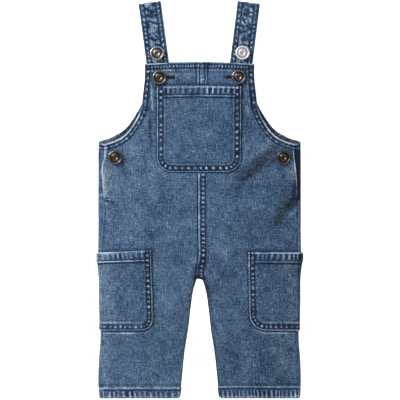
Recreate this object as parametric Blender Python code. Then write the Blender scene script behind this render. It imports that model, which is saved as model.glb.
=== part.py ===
"""Kids' denim dungarees, laid flat on a surface with the front up.

Every cloth piece is a wall of real thickness raised on a grid of rows and columns.  A row is named by its
height at the centre seam, a column by how far it lies from the centre or from the side edge.  Heights ("up")
are measured from the leg hems, widths ("out") from the centre line, and both are in millimetres until the
finished points are scaled to metres.  The object lies on z = 0 with +Y towards the straps and +X towards the
viewer's right, and its origin is the centre of its outline on the surface.
"""

import math
from collections import namedtuple

import bmesh
import bpy
import numpy as np

MM = 0.001

# Driving sizes, mm
LENGTH = 477.5  # leg hem to the fold of the straps
WALL = 1.2  # one layer of denim
GAP = 0.3  # clearance where two pieces meet
AIR = 1.2  # loft between front and back where they lie slack
BAND = 0.8  # how far a turned hem or a lapped seam stands up
STEP = 0.3  # half the width of the step at a band's edge

# Rows named by their height at the centre seam
BIB_TOP = 403.2
SEAM_BARE_TOP = 378.2  # behind the bib pocket the lapped seam is left flat, from here
SEAM_BARE_FOOT = 269.7  # to here
CORNER = 275.0  # the row that ends at the foot of the armhole
ARM_HEM_FOOT = 269.7  # the row where the armhole's hem has ended
PLACKET_FOOT = 220.0  # the row that ends at the foot of the side opening
CROTCH = 143.9

EDGE_ROUND = 2.3  # radius of the rounded inner leg edge
EDGE_MID = 2.2  # height at which front and back meet along the inner leg
ROW_BEND = 1.6  # rows run level from the centre and lean more towards the side
NEAR_FOLD = 2.5  # how far in from the side fold the front's height sets the roll's radius
SIDE_RISE = 1.1  # how much the front lifts towards the side folds,
OPENING_RISE = 1.4  # at the side openings on top of that,
INNER_RISE = 0.5  # and along the inner legs

BIB_HEM = 6.5
ARM_HEM = 7.0
LEG_HEM = 12.3
HEM_CORNER = 3.6
LAP_SEAM = 10.0  # width of the lapped centre-front seam
UNDERLAP = 24.0  # how far the back reaches under the front at the side opening
UNDERLAP_DROP = WALL + GAP

STRAP_WIDE = 26.0
STRAP_THICK = 2.4
STRAP_TOP = 475.7
STRAP_FOLD = 3.2  # radius of the shoulder fold, half the height of the doubled strap
STRAP_FRONT_END = 370.5
STRAP_REAR_END = 352.0
BACK_TOP = 363.0
BIB_RISE = 4.1  # how much the straps beneath hold up the bib

POCKET_TOP = 174.8
POCKET_FOOT = 78.4
POCKET_HEM = 11.0
POCKET_CORNER = 12.0
POCKET_STEPS = (0.0, 0.6, 2.6, 6.6, POCKET_CORNER)  # columns round a lower corner
POCKET_REAR_IN = 72.0  # where a side pocket's rear edge lies, from the centre line
LEDGE = 10.0  # how far past the pocket the back is still held up
RAMP = 16.0  # length of the slope where the back comes down from there to the surface
POCKET_SLACK = 1.1

BIB_POCKET_WIDE = 102.0
BIB_POCKET_TOP = 375.3
BIB_POCKET_FOOT = 271.2
BIB_POCKET_HEM = 11.5
BIB_POCKET_CORNER = 18.0
BIB_POCKET_STEPS = (0.0, 0.7, 2.8, 7.0, 12.0, BIB_POCKET_CORNER)
BIB_POCKET_SLACK = 0.8

BUTTON_RADIUS = 8.5
SHANK_RADIUS = 2.2
SHANK_HOLE = SHANK_RADIUS + GAP
TACK_THICK = 0.8
BIB_SHANK = 5.5  # from the tack up to the cap
SPARE_SHANK = 4.6
SIDE_SHANK = 4.8
BUTTONHOLE_SLOT = 1.8
BIB_SLOT = 18.0  # from the shank to the far end of a buttonhole
SIDE_SLOT = 8.5

# Materials: colour, roughness, metallic
DENIM = ((0.085, 0.150, 0.245), 0.88, 0.0)
METAL = ((0.36, 0.34, 0.33), 0.33, 1.0)

# The free edge of the bib and armhole on a front, and of the armhole on a back
Arm = namedtuple("Arm", "centre out up")
FRONT_ARM = [
    Arm(403.2, 64.7, 398.8),
    Arm(387.2, 64.7, 384.1),
    Arm(365.6, 66.8, 363.4),
    Arm(354.4, 68.3, 354.0),
    Arm(341.6, 73.3, 342.2),
    Arm(328.0, 80.9, 330.4),
    Arm(315.0, 87.6, 321.1),
    Arm(302.0, 95.2, 313.6),
    Arm(288.5, 103.6, 307.7),
    Arm(275.0, 114.0, 304.2),
]
BACK_ARM = [
    Arm(363.0, 66.0, 363.0),
    Arm(349.0, 72.2, 348.6),
    Arm(335.0, 81.0, 334.2),
    Arm(322.0, 87.0, 327.0),
    Arm(309.0, 94.2, 319.8),
    Arm(298.0, 101.4, 315.0),
    Arm(287.0, 109.2, 310.7),
    Arm(275.0, 119.3, 307.1),
]

# How high each row ends at the side
Lean = namedtuple("Lean", "centre front back")
LEANS = [
    Lean(275.0, 304.2, 307.1),
    Lean(269.7, 297.2, 298.2),
    Lean(262.0, 288.2, 288.2),
    Lean(220.0, 239.4, 239.4),
    Lean(174.8, 174.8, 174.8),
    Lean(0.0, 0.0, 0.0),
]

# Half the width of the laid-out body and leg, at its side folds
Fold = namedtuple("Fold", "up out")
SIDE_FOLD = [
    Fold(310.0, 121.6),
    Fold(240.0, 121.8),
    Fold(182.0, 121.9),
    Fold(168.0, 122.2),
    Fold(146.0, 120.2),
    Fold(118.0, 119.6),
    Fold(90.0, 119.0),
    Fold(67.0, 119.4),
    Fold(53.0, 120.6),
    Fold(24.0, 121.8),
    Fold(0.0, 121.4),
]

# How far in from the side fold each front's edge lies
Seam = namedtuple("Seam", "up left right")
SIDE_SEAM = [
    Seam(304.2, 7.7, 9.0),
    Seam(292.0, 7.2, 9.2),
    Seam(276.0, 4.0, 6.8),
    Seam(262.0, 4.6, 5.6),
    Seam(240.0, 7.6, 4.6),
    Seam(222.0, 9.4, 4.2),
    Seam(198.0, 6.8, 4.0),
    Seam(176.0, 4.8, 4.0),
    Seam(78.0, 3.6, 3.6),
    Seam(30.0, 3.6, 3.6),
    Seam(12.0, 7.0, 4.4),
    Seam(0.0, 7.0, 4.4),
]

# Half the gap between the legs, from the crotch down
Inseam = namedtuple("Inseam", "up out")
INNER_LEG = [
    Inseam(139.8, 4.3),
    Inseam(132.6, 6.6),
    Inseam(111.0, 10.2),
    Inseam(82.0, 13.8),
    Inseam(53.4, 18.0),
    Inseam(24.6, 21.0),
    Inseam(0.0, 23.6),
]

# Soft troughs (height below 0) and ridges in the front, each along a line
Crease = namedtuple("Crease", "x0 up0 x1 up1 wide high")
CREASES = [
    Crease(-58, 346, -60, 298, 9, -0.9),
    Crease(-72, 322, -74, 296, 9, 0.5),
    Crease(57, 350, 61, 324, 9, -0.7),
    Crease(78, 284, 46, 248, 11, -1.1),
    Crease(66, 304, 38, 266, 12, 0.5),
    Crease(88, 262, 62, 232, 13, 0.7),
    Crease(-40, 236, -66, 214, 14, -0.6),
    Crease(-12, 176, -34, 150, 10, -0.7),
    Crease(14, 172, 36, 148, 10, -0.7),
    Crease(-78, 206, -90, 190, 12, 0.5),
    Crease(-60, 60, -66, 28, 14, 0.5),
    Crease(64, 64, 58, 26, 14, 0.6),
    Crease(-30, 96, -38, 60, 12, -0.5),
]

# Each strap's centre line: at the fold, at the bib's edge, and at and below its lower button
Strap = namedtuple("Strap", "side top edge button button_up spare_up")
STRAPS = [
    Strap("left", -60.0, -50.4, -51.0, 384.6, 414.6),
    Strap("right", 60.2, 51.2, 46.6, 386.4, 415.8),
]
SIDE_BUTTON_OUT = 101.0
SIDE_BUTTON_UP = 289.3

# A side pocket's front part: its inner edge at the top and the foot, and how high its top ends there
SidePocket = namedtuple("SidePocket", "side inner_top inner_foot top_up")
SIDE_POCKETS = {
    "left": SidePocket("left", 57.5, 54.4, 177.2),
    "right": SidePocket("right", 58.4, 59.8, POCKET_TOP),
}


def ease(t):
    t = np.clip(t, 0.0, 1.0)
    return t * t * (3.0 - 2.0 * t)


def curve(table, key, value, at):
    """A smooth curve through a table's rows: value against key, with Catmull-Rom slopes."""
    rows = sorted(table, key=lambda row: getattr(row, key))
    x = np.array([getattr(row, key) for row in rows], float)
    y = np.array([getattr(row, value) for row in rows], float)
    slope = np.gradient(y, x)
    at = np.clip(np.asarray(at, float), x[0], x[-1])
    i = np.clip(np.searchsorted(x, at, side="right") - 1, 0, len(x) - 2)
    run = x[i + 1] - x[i]
    t = (at - x[i]) / run
    ends = y[i] * (1 + 2 * t) * (1 - t) ** 2 + y[i + 1] * t**2 * (3 - 2 * t)
    bends = slope[i] * t * (1 - t) ** 2 - slope[i + 1] * t**2 * (1 - t)
    return ends + run * bends


def straight(table, key, value, at):
    """The same table read with straight lines between its rows."""
    rows = sorted(table, key=lambda row: getattr(row, key))
    x = [getattr(row, key) for row in rows]
    return np.interp(at, x, [getattr(row, value) for row in rows])


def from_line(x, up, x0, up0, x1, up1):
    """Distance of points from a straight stretch of line."""
    dx, dup = x1 - x0, up1 - up0
    t = np.clip(((x - x0) * dx + (up - up0) * dup) / (dx * dx + dup * dup), 0.0, 1.0)
    return np.hypot(x - x0 - t * dx, up - up0 - t * dup)


def crotch_line():
    """The edge between the legs as a run of points, left hem to crotch to right hem."""
    ups = np.concatenate([np.arange(0.0, 136.0, 8.0), [139.8, 141.5, 143.2, CROTCH]])
    left = np.column_stack([inner_edge("left", ups), ups])
    right = np.column_stack([inner_edge("right", ups), ups])
    return np.vstack([left, right[::-1]])


def edge_between_legs(x, up):
    """Distance from the edge between the legs, and the direction that leads out across it."""
    line = crotch_line()
    best = np.full(np.shape(x), np.inf)
    out_x, out_up = np.zeros(np.shape(x)), np.zeros(np.shape(x))
    for (x0, up0), (x1, up1) in zip(line[:-1], line[1:]):
        far = from_line(x, up, x0, up0, x1, up1)
        nearer = far < best
        length = math.hypot(x1 - x0, up1 - up0)
        best = np.where(nearer, far, best)
        out_x = np.where(nearer, (up1 - up0) / length, out_x)
        out_up = np.where(nearer, -(x1 - x0) / length, out_up)
    return best, out_x, out_up


def lift(x, up):
    """How far the rear part of a side pocket holds the back off the surface."""
    across = ease((np.abs(x) - (POCKET_REAR_IN - LEDGE - RAMP)) / RAMP)
    along = ease((up - (POCKET_FOOT - 3 - RAMP)) / RAMP) * ease((POCKET_TOP + 3 + RAMP - up) / RAMP)
    return (WALL + GAP) * across * along


def fold_out(up):
    """Where the side fold lies, from the centre line."""
    return curve(SIDE_FOLD, "up", "out", up)


def face(x, up):
    """Height of the front's plain outer face, before its inner leg edge is rounded."""
    inset = fold_out(up) - np.abs(x)
    side = SIDE_RISE * (1 - ease((inset - 4) / 40))
    at_opening = ease((up - 229) / 16) * ease((340 - up) / 36)
    side = side + OPENING_RISE * at_opening * (1 - ease((inset - 30) / 35))
    far, _, _ = edge_between_legs(x, up)
    inner = INNER_RISE * (1 - ease(far / 25))
    over_straps = BIB_RISE * (0.12 + 0.88 * ease(np.abs(x) / 32)) * ease((up - 318) / 48)
    creases = 0.0
    for c in CREASES:
        creases = creases + c.high * np.exp(-((from_line(x, up, c.x0, c.up0, c.x1, c.up1) / c.wide) ** 2))
    return 2 * WALL + GAP + AIR + lift(x, up) + side + inner + over_straps + creases


def seam_out(side, up):
    """Where the front's side edge lies, from the centre line."""
    return fold_out(up) - curve(SIDE_SEAM, "up", side, up)


def inner_edge(side, up):
    """Signed place of a panel's inner edge: the centre seam, and below it the inner leg."""
    sign = -1.0 if side == "left" else 1.0
    seam = -0.5 - 1.5 * ease((240 - up) / 90) + sign * GAP / 2
    leg = sign * curve(INNER_LEG, "up", "out", up)
    down = np.clip((CROTCH - up) / (CROTCH - INNER_LEG[0].up), 0.0, 1.0)
    arch = np.sqrt(1 - (1 - down) ** 2)
    return seam * (1 - arch) + leg * arch


def rounded(side, x, up, high, facing):
    """Points and normals of a panel whose inner leg edge rolls towards the other panel."""
    far, out_x, out_up = edge_between_legs(x, up)
    far[up[:, 0] <= CROTCH, 0] = 0.0
    t = np.clip(far / EDGE_ROUND, 0.0, 1.0)
    rise = np.sqrt(1 - (1 - t) ** 2)
    edge = EDGE_MID + facing * GAP / 2
    points = np.stack([x, up, edge + (high - edge) * rise], axis=-1)
    normals = np.stack([out_x * (1 - t), out_up * (1 - t), facing * rise], axis=-1)
    return points, normals


def row_ups(centre, out_up, share):
    """Heights along each row: level near the centre, leaning towards the side."""
    return centre[:, None] + (out_up - centre)[:, None] * share**ROW_BEND


def steps(first, last, length):
    """Evenly spaced values from first to last, no further apart than length."""
    return np.linspace(first, last, max(2, math.ceil(abs(last - first) / length) + 1))


def hem_along_rows(centre, out, out_up):
    """Width of the armhole's hem measured sideways along each row, which meets the edge at a slant."""
    arm = np.flatnonzero(centre >= CORNER)
    edge_x, edge_up = np.gradient(out[arm]), np.gradient(out_up[arm])
    row_x, row_up = out[arm], ROW_BEND * (out_up - centre)[arm]
    across = np.abs(row_x * edge_up - row_up * edge_x)
    wide = ARM_HEM * row_x * np.hypot(edge_x, edge_up) / across
    return np.concatenate([wide, np.full(len(centre) - len(arm), wide[-1])])


def hem_corner(up, inset):
    """How far a leg's lower corner is rounded off, fading out at the top of the hem."""
    short = np.clip(HEM_CORNER - inset, 0.0, HEM_CORNER)
    return (HEM_CORNER - np.sqrt(HEM_CORNER**2 - short**2)) * np.clip(1 - up / LEG_HEM, 0.0, 1.0)


def front(side):
    """A front panel: points, normals and relief of its outer face."""
    sign = -1.0 if side == "left" else 1.0
    above = [BIB_TOP, BIB_TOP - BIB_HEM + STEP, BIB_TOP - BIB_HEM - STEP, 387.2]
    above += [SEAM_BARE_TOP + STEP, SEAM_BARE_TOP - STEP, 366.5, 354.4, 341.6, 328.0, 315.0, 302.0, 288.5]
    above += [CORNER, ARM_HEM_FOOT + STEP, ARM_HEM_FOOT - STEP]
    below = [261.0, 251.0, 241.0, 230.5, PLACKET_FOOT, 215.0, 205.0, 195.0, 185.0, POCKET_TOP, 162.0, 152.0]
    leg = [146.3, CROTCH, 143.2, 139.8, 132.0, 119.0, 105.0, 91.0, 77.0, 62.0, 48.0, 35.0, 22.0]
    centre = np.array(above + below + leg + [LEG_HEM + STEP, LEG_HEM - STEP, 0.0])

    arm = centre > CORNER
    out_up = np.where(arm, curve(FRONT_ARM, "centre", "up", centre), straight(LEANS, "centre", "front", centre))
    out = np.where(arm, curve(FRONT_ARM, "centre", "out", centre), seam_out(side, out_up))
    hem = hem_along_rows(centre, out, out_up)

    near = [0.0, 0.9, EDGE_ROUND] + ([] if side == "left" else [LAP_SEAM - STEP, LAP_SEAM + STEP])
    start = inner_edge(side, centre)
    wide = out - np.abs(start)
    middle = np.linspace(0, 1, 9 if side == "left" else 8)[1:-1]
    shares = []
    for w, h in zip(wide, hem):
        inside = near[-1] + (w - h - 2 * STEP - near[-1]) * middle
        shares.append(np.concatenate([near, inside, [w - h - STEP, w - h + STEP, w]]) / w)
    share = np.array(shares)
    up = row_ups(centre, out_up, share)
    start = inner_edge(side, up)
    x = start + (sign * out[:, None] - start) * share
    up = up + hem_corner(up, np.abs(x - start)) + hem_corner(up, fold_out(up) - np.abs(x))

    points, normals = rounded(side, x, up, face(x, up), 1.0)
    relief = np.zeros(x.shape)
    relief[centre > BIB_TOP - BIB_HEM, :] = BAND
    relief[np.ix_(centre > ARM_HEM_FOOT, [-2, -1])] = BAND
    relief[centre < LEG_HEM, :] = BAND
    if side == "right":
        bare = (centre < SEAM_BARE_TOP) & (centre > SEAM_BARE_FOOT)
        relief[np.ix_(~bare & (centre > CROTCH), range(4))] = BAND
    return points, normals, relief


def side_roll(sign, fold, radius, floor, up, turns):
    """Points round the side fold at turns away from straight up, one row for each height, and their normals."""
    x = (fold - radius)[:, None] + radius[:, None] * np.sin(turns)
    z = (floor + radius)[:, None] + radius[:, None] * np.cos(turns)
    points = np.stack([sign * x, np.broadcast_to(up[:, None], x.shape), z], axis=-1)
    normals = np.stack([sign * np.sin(turns), np.zeros(len(turns)), np.cos(turns)], axis=-1)
    return points, np.broadcast_to(normals, points.shape)


def back(side):
    """A back panel, which rolls up round the side fold to the front's edge and under the side opening."""
    sign = -1.0 if side == "left" else 1.0
    above = [BACK_TOP, 356.0, 349.0, 335.0, 322.0, 309.0, 298.0, 287.0, CORNER, ARM_HEM_FOOT]
    below = [261.0, 251.0, 241.0, 230.5, PLACKET_FOOT, 215.0, 205.0, 195.0, 185.0, POCKET_TOP, 162.0, 152.0]
    leg = [146.3, CROTCH, 143.2, 139.8, 132.0, 119.0, 105.0, 91.0, 77.0, 62.0, 48.0, 35.0, 22.0, 11.0, 0.0]
    centre = np.array(above + below + leg)

    arm = centre > CORNER
    side_up = straight(LEANS, "centre", "back", centre)
    out_up = np.where(arm, curve(BACK_ARM, "centre", "up", centre), side_up)
    fold = fold_out(out_up)
    drop = UNDERLAP_DROP * (centre >= PLACKET_FOOT)
    floor = lift(fold - NEAR_FOLD, out_up)
    radius = (face(fold - NEAR_FOLD, out_up) - drop - floor) / 2
    out = np.where(arm, curve(BACK_ARM, "centre", "out", centre), fold - radius)

    start = inner_edge(side, centre)
    wide = out - np.abs(start)
    near = np.array([0.0, 0.9, EDGE_ROUND])
    middle = np.linspace(0, 1, 9)[1:]
    flat = np.array([np.concatenate([near, near[-1] + (w - near[-1]) * middle]) / w for w in wide])
    up = row_ups(centre, out_up, flat)
    start = inner_edge(side, up)
    x = start + (sign * out[:, None] - start) * flat
    up = up + hem_corner(up, np.abs(x - start)) + hem_corner(up, fold[:, None] - np.abs(x))
    points, normals = rounded(side, x, up, lift(x, up), -1.0)

    # the roll round the fold, its top, and the underlap
    roll, roll_out = side_roll(sign, fold, radius, floor, out_up, np.radians([135, 90, 45, 0]))
    roll[..., 1] += hem_corner(roll[..., 1], fold[:, None] - np.abs(roll[..., 0]))
    seam_up = straight(LEANS, "centre", "front", centre)
    seam = seam_out(side, seam_up) + GAP
    tops = np.stack([seam, seam - UNDERLAP / 3, seam - UNDERLAP * 2 / 3, seam - UNDERLAP], axis=1)
    top_up = seam_up[:, None] + hem_corner(seam_up[:, None], fold[:, None] - tops)
    top_z = face(sign * tops, top_up) - drop[:, None]
    top = np.stack([sign * tops, top_up, top_z], axis=-1)

    points = np.concatenate([points, roll, top], axis=1)
    normals = np.concatenate([normals, roll_out, np.broadcast_to([0.0, 0.0, 1.0], top.shape)], axis=1)
    kept = np.ones((len(centre) - 1, points.shape[1] - 1), bool)
    flat_cells = flat.shape[1] - 1
    kept[centre[:-1] > CORNER, flat_cells:] = False
    kept[centre[1:] < PLACKET_FOOT, flat_cells + 5 :] = False
    return points, normals, kept


def corner_foot(foot, corner, inset):
    """Height of a pocket's lower edge at a distance in from its side, round its corner."""
    short = np.clip(corner - inset, 0.0, corner)
    return foot + corner - np.sqrt(corner**2 - short**2)


def pocket_rows(top, foot, hem, length):
    """Shares of the way down a pocket, with a pair at the edge of its hem."""
    tall = top - foot
    lower = steps(hem + STEP, tall, length) / tall
    return np.concatenate([[0.0, (hem - STEP) / tall], lower])


def side_pocket(side):
    """A side pocket, which wraps from the front round the side fold to the back."""
    sign = -1.0 if side == "left" else 1.0
    sizes = SIDE_POCKETS[side]
    rows = pocket_rows(POCKET_TOP, POCKET_FOOT, POCKET_HEM, 17)
    level = POCKET_TOP + (POCKET_FOOT - POCKET_TOP) * rows
    inner = (sizes.inner_top + (sizes.inner_foot - sizes.inner_top) * rows)[:, None]
    corner = np.array(POCKET_STEPS)

    fold = fold_out(level)
    floor = WALL + GAP
    radius = (face(fold - NEAR_FOLD, level) - floor) / 2
    flat_end = (fold - radius)[:, None]
    ahead = np.linspace(0, 1, 6)[1:-1]
    front_out = inner + np.hstack([np.tile(corner, (len(rows), 1)),
                                   POCKET_CORNER + (flat_end - inner - POCKET_CORNER) * ahead])
    rear_wide = flat_end - POCKET_REAR_IN
    rear_out = POCKET_REAR_IN + np.hstack([POCKET_CORNER + (rear_wide - POCKET_CORNER) * [0.67, 0.33],
                                           np.tile(corner[::-1], (len(rows), 1))])
    turns = np.radians([0, 45, 90, 135, 180])
    roll, roll_out = side_roll(sign, fold, radius, np.full(len(rows), floor), level, turns)

    outs = np.hstack([front_out, np.abs(roll[..., 0]), rear_out])
    inset = np.hstack([front_out - inner, np.full(roll.shape[:2], 99.0), rear_out - POCKET_REAR_IN])
    on_front = np.arange(outs.shape[1]) < front_out.shape[1]
    from_fold = np.where(on_front, fold[:, None] - outs, 0.0)
    top = POCKET_TOP + (sizes.top_up - POCKET_TOP) * np.clip(from_fold / (fold[:, None] - inner), 0.0, 1.0)
    foot = corner_foot(POCKET_FOOT, POCKET_CORNER, inset)
    up = top + (foot - top) * rows[:, None]

    front_z = face(sign * front_out, up[:, : front_out.shape[1]])
    z = np.hstack([front_z, roll[..., 2], np.full(rear_out.shape, floor)])
    ahead_out = np.broadcast_to([0.0, 0.0, 1.0], (*front_out.shape, 3))
    rear_down = np.broadcast_to([0.0, 0.0, -1.0], (*rear_out.shape, 3))
    normals = np.concatenate([ahead_out, roll_out, rear_down], axis=1)
    slack = POCKET_SLACK * ease((up - top + 34) / 34) * ease(inset / 14) * ease(from_fold / 20)
    points = np.stack([sign * outs, up, z], axis=-1) + normals * (GAP + WALL + slack)[..., None]
    relief = np.zeros(z.shape)
    relief[:2, : front_out.shape[1] + 3] = BAND
    return points, normals, relief


def bib_pocket():
    """The patch pocket on the bib."""
    half = BIB_POCKET_WIDE / 2
    rows = pocket_rows(BIB_POCKET_TOP, BIB_POCKET_FOOT, BIB_POCKET_HEM, 10)
    edge = np.array(BIB_POCKET_STEPS)
    across = np.concatenate([edge - half, steps(BIB_POCKET_CORNER - half, half - BIB_POCKET_CORNER, 10)[1:-1]])
    across = np.concatenate([across, (half - edge)[::-1]])
    x = np.broadcast_to(across, (len(rows), len(across)))
    inset = half - np.abs(x)
    foot = corner_foot(BIB_POCKET_FOOT, BIB_POCKET_CORNER, inset)
    top = BIB_POCKET_TOP - 1.2 * (np.abs(x) / half) ** 2
    up = top + (foot - top) * rows[:, None]
    slack = BIB_POCKET_SLACK * ease((up - top + 40) / 40) * ease(inset / 16)
    points = np.stack([x, up, face(x, up) + GAP + WALL + slack], axis=-1)
    relief = np.zeros(x.shape)
    relief[:2, :] = BAND
    return points, np.broadcast_to([0.0, 0.0, 1.0], points.shape), relief


def strap_slope(strap):
    return (strap.top - strap.edge) / (STRAP_TOP - BIB_TOP)


def strap_line(strap, up):
    return strap.edge + strap_slope(strap) * (up - BIB_TOP)


def strap_centre(strap, up):
    """The strap's centre line seen from above: straight to the bib, then bending to its button."""
    bend = ease((BIB_TOP - up) / 22.0)
    return strap_line(strap, up) * (1 - bend) + strap.button * bend


def strap_wall(strap):
    """A doubled strap, from its end behind the bib over the shoulder fold and down to the back."""
    slope = strap_slope(strap)
    ahead = np.array([slope, 1.0]) / math.hypot(slope, 1.0)
    fold_up = STRAP_TOP - STRAP_FOLD * ahead[1]
    down_front = steps(STRAP_FRONT_END, fold_up, 12)
    turns = np.radians([60, 30, 0, -30, -60])
    down_rear = np.concatenate([steps(fold_up, BACK_TOP + 6, 16), [BACK_TOP + 1, STRAP_REAR_END]])
    half = STRAP_WIDE / 2
    across = np.array([-half, -half + 3.5, 0.0, half - 3.5, half])

    rows, normals = [], []
    for up in down_front:
        x = strap_centre(strap, up)
        turn = math.atan2(strap_centre(strap, up + 1) - x, 1.0)
        rows.append((x, up, math.cos(turn), -math.sin(turn), 2 * STRAP_FOLD))
        normals.append((0.0, 0.0, 1.0))
    for turn in turns:
        reach = STRAP_FOLD * math.cos(turn)
        x = strap_centre(strap, fold_up) + ahead[0] * reach
        rows.append((x, fold_up + ahead[1] * reach, ahead[1], -ahead[0], STRAP_FOLD * (1 + math.sin(turn))))
        normals.append((ahead[0] * math.cos(turn), ahead[1] * math.cos(turn), math.sin(turn)))
    for up in down_rear:
        raised = (WALL + GAP) * ease((BACK_TOP + 6 - up) / 5)
        rows.append((strap_line(strap, up), up, ahead[1], -ahead[0], raised))
        normals.append((0.0, 0.0, -1.0))
    points = [[(x + a * ax, up + a * aup, z) for a in across] for x, up, ax, aup, z in rows]
    normals = [[n for _ in across] for n in normals]
    return np.array(points), np.array(normals)


def to_metres(x, up, z):
    return (x * MM, (up - LENGTH / 2) * MM, z * MM)


def wall(name, points, normals, relief=None, kept=None, thick=WALL):
    """A closed wall: the grid's outer face with its relief, a plain inner face, and rims between them."""
    rows, cols = points.shape[:2]
    skin = points if relief is None else points + normals * relief[..., None]
    lining = points - normals * thick
    kept = np.ones((rows - 1, cols - 1), bool) if kept is None else kept
    cells = [(r * cols + c, (r + 1) * cols + c, (r + 1) * cols + c + 1, r * cols + c + 1)
             for r in range(rows - 1) for c in range(cols - 1) if kept[r, c]]
    used = sorted({corner for cell in cells for corner in cell})
    place = {corner: i for i, corner in enumerate(used)}
    offset = len(used)
    verts = [to_metres(*skin[k // cols, k % cols]) for k in used]
    verts += [to_metres(*lining[k // cols, k % cols]) for k in used]
    faces, edges = [], set()
    for cell in cells:
        top = [place[k] for k in cell]
        faces.append(top)
        faces.append([i + offset for i in reversed(top)])
        edges.update(zip(top, top[1:] + top[:1]))
    rim = [(a, b) for a, b in edges if (b, a) not in edges]
    faces += [(b, a, a + offset, b + offset) for a, b in sorted(rim)]
    mesh = bpy.data.meshes.new(name)
    mesh.from_pydata(verts, [], faces)
    return finished(name, mesh, DENIM_MATERIAL)


def finished(name, mesh, material):
    """Turn a mesh's faces outwards, shade it and link its object under the garment's empty."""
    form = bmesh.new()
    form.from_mesh(mesh)
    bmesh.ops.recalc_face_normals(form, faces=form.faces)
    form.to_mesh(mesh)
    form.free()
    mesh.shade_smooth()
    mesh.set_sharp_from_angle(angle=math.radians(40))
    piece = bpy.data.objects.new(name, mesh)
    piece.data.materials.append(material)
    piece.parent = GARMENT
    bpy.context.collection.objects.link(piece)
    return piece


def turned(name, profile, sides):
    """A turned mesh about +Z from a profile of (radius, height) that starts and ends on the axis."""
    mesh = bpy.data.meshes.new(name)
    form = bmesh.new()
    rings = []
    for radius, z in profile:
        if radius == 0:
            rings.append([form.verts.new((0, 0, z * MM))])
            continue
        around = [(radius * math.cos(2 * math.pi * k / sides), radius * math.sin(2 * math.pi * k / sides))
                  for k in range(sides)]
        rings.append([form.verts.new((x * MM, y * MM, z * MM)) for x, y in around])
    for low, high in zip(rings, rings[1:]):
        for k in range(sides):
            ahead = k + 1
            corners = [low[k % len(low)], low[ahead % len(low)], high[ahead % len(high)], high[k % len(high)]]
            form.faces.new(list(dict.fromkeys(corners)))
    form.to_mesh(mesh)
    form.free()
    return mesh


def button_profile(shank):
    """From the tack on the inside, through the cloth, to the rimmed cap with its dished centre."""
    cap = TACK_THICK + shank
    return [
        (0, 0), (4.5, 0), (4.5, TACK_THICK), (SHANK_RADIUS, TACK_THICK), (SHANK_RADIUS, cap), (7.4, cap),
        (BUTTON_RADIUS, cap + 1.0), (8.1, cap + 2.2), (7.0, cap + 2.7), (6.1, cap + 2.3), (5.4, cap + 1.4),
        (0, cap + 1.8),
    ]


def button(name, x, up, low, shank):
    piece = finished(name, turned(name, button_profile(shank), 16), METAL_MATERIAL)
    piece.location = to_metres(x, up, low)
    return piece


def prism(name, outline, x, up, low):
    """A cutter with the given outline, standing from a height within the layers to well above them."""
    mesh = bpy.data.meshes.new(name)
    form = bmesh.new()
    base = form.faces.new([form.verts.new((px * MM, pup * MM, 0)) for px, pup in outline])
    walls = bmesh.ops.extrude_face_region(form, geom=[base])
    raised = [v for v in walls["geom"] if isinstance(v, bmesh.types.BMVert)]
    bmesh.ops.translate(form, verts=raised, vec=(0, 0, 12 * MM))
    bmesh.ops.recalc_face_normals(form, faces=form.faces)
    form.to_mesh(mesh)
    form.free()
    cutter = bpy.data.objects.new(name, mesh)
    cutter.parent = GARMENT
    cutter.location = to_metres(x, up, low)
    cutter.hide_render = True
    cutter.display_type = "WIRE"
    bpy.context.collection.objects.link(cutter)
    return cutter


def round_outline(radius, sides=16):
    return [(radius * math.cos(2 * math.pi * k / sides), radius * math.sin(2 * math.pi * k / sides))
            for k in range(sides)]


def keyhole_outline(length):
    """A round eyelet about the shank with a slot that runs off towards +X, or -X for a negative length."""
    half = BUTTONHOLE_SLOT / 2
    start = math.asin(half / SHANK_HOLE)
    angles = np.linspace(start, 2 * math.pi - start, 14)
    outline = [(SHANK_HOLE * math.cos(a), SHANK_HOLE * math.sin(a)) for a in angles]
    outline += [(abs(length), -half), (abs(length), half)]
    return [(math.copysign(1.0, length) * px, pup) for px, pup in outline]


def cut(piece, cutter):
    hole = piece.modifiers.new(cutter.name, "BOOLEAN")
    hole.operation = "DIFFERENCE"
    hole.solver = "EXACT"
    hole.object = cutter


def material(name, look):
    colour, roughness, metallic = look
    made = bpy.data.materials.new(name)
    made.use_nodes = True
    shader = made.node_tree.nodes["Principled BSDF"]
    shader.inputs["Base Color"].default_value = (*colour, 1.0)
    shader.inputs["Roughness"].default_value = roughness
    shader.inputs["Metallic"].default_value = metallic
    made.diffuse_color = (*colour, 1.0)
    return made


for leftover in list(bpy.data.objects):
    bpy.data.objects.remove(leftover)
DENIM_MATERIAL = material("denim", DENIM)
METAL_MATERIAL = material("button metal", METAL)
GARMENT = bpy.data.objects.new("dungarees", None)
bpy.context.collection.objects.link(GARMENT)

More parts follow.
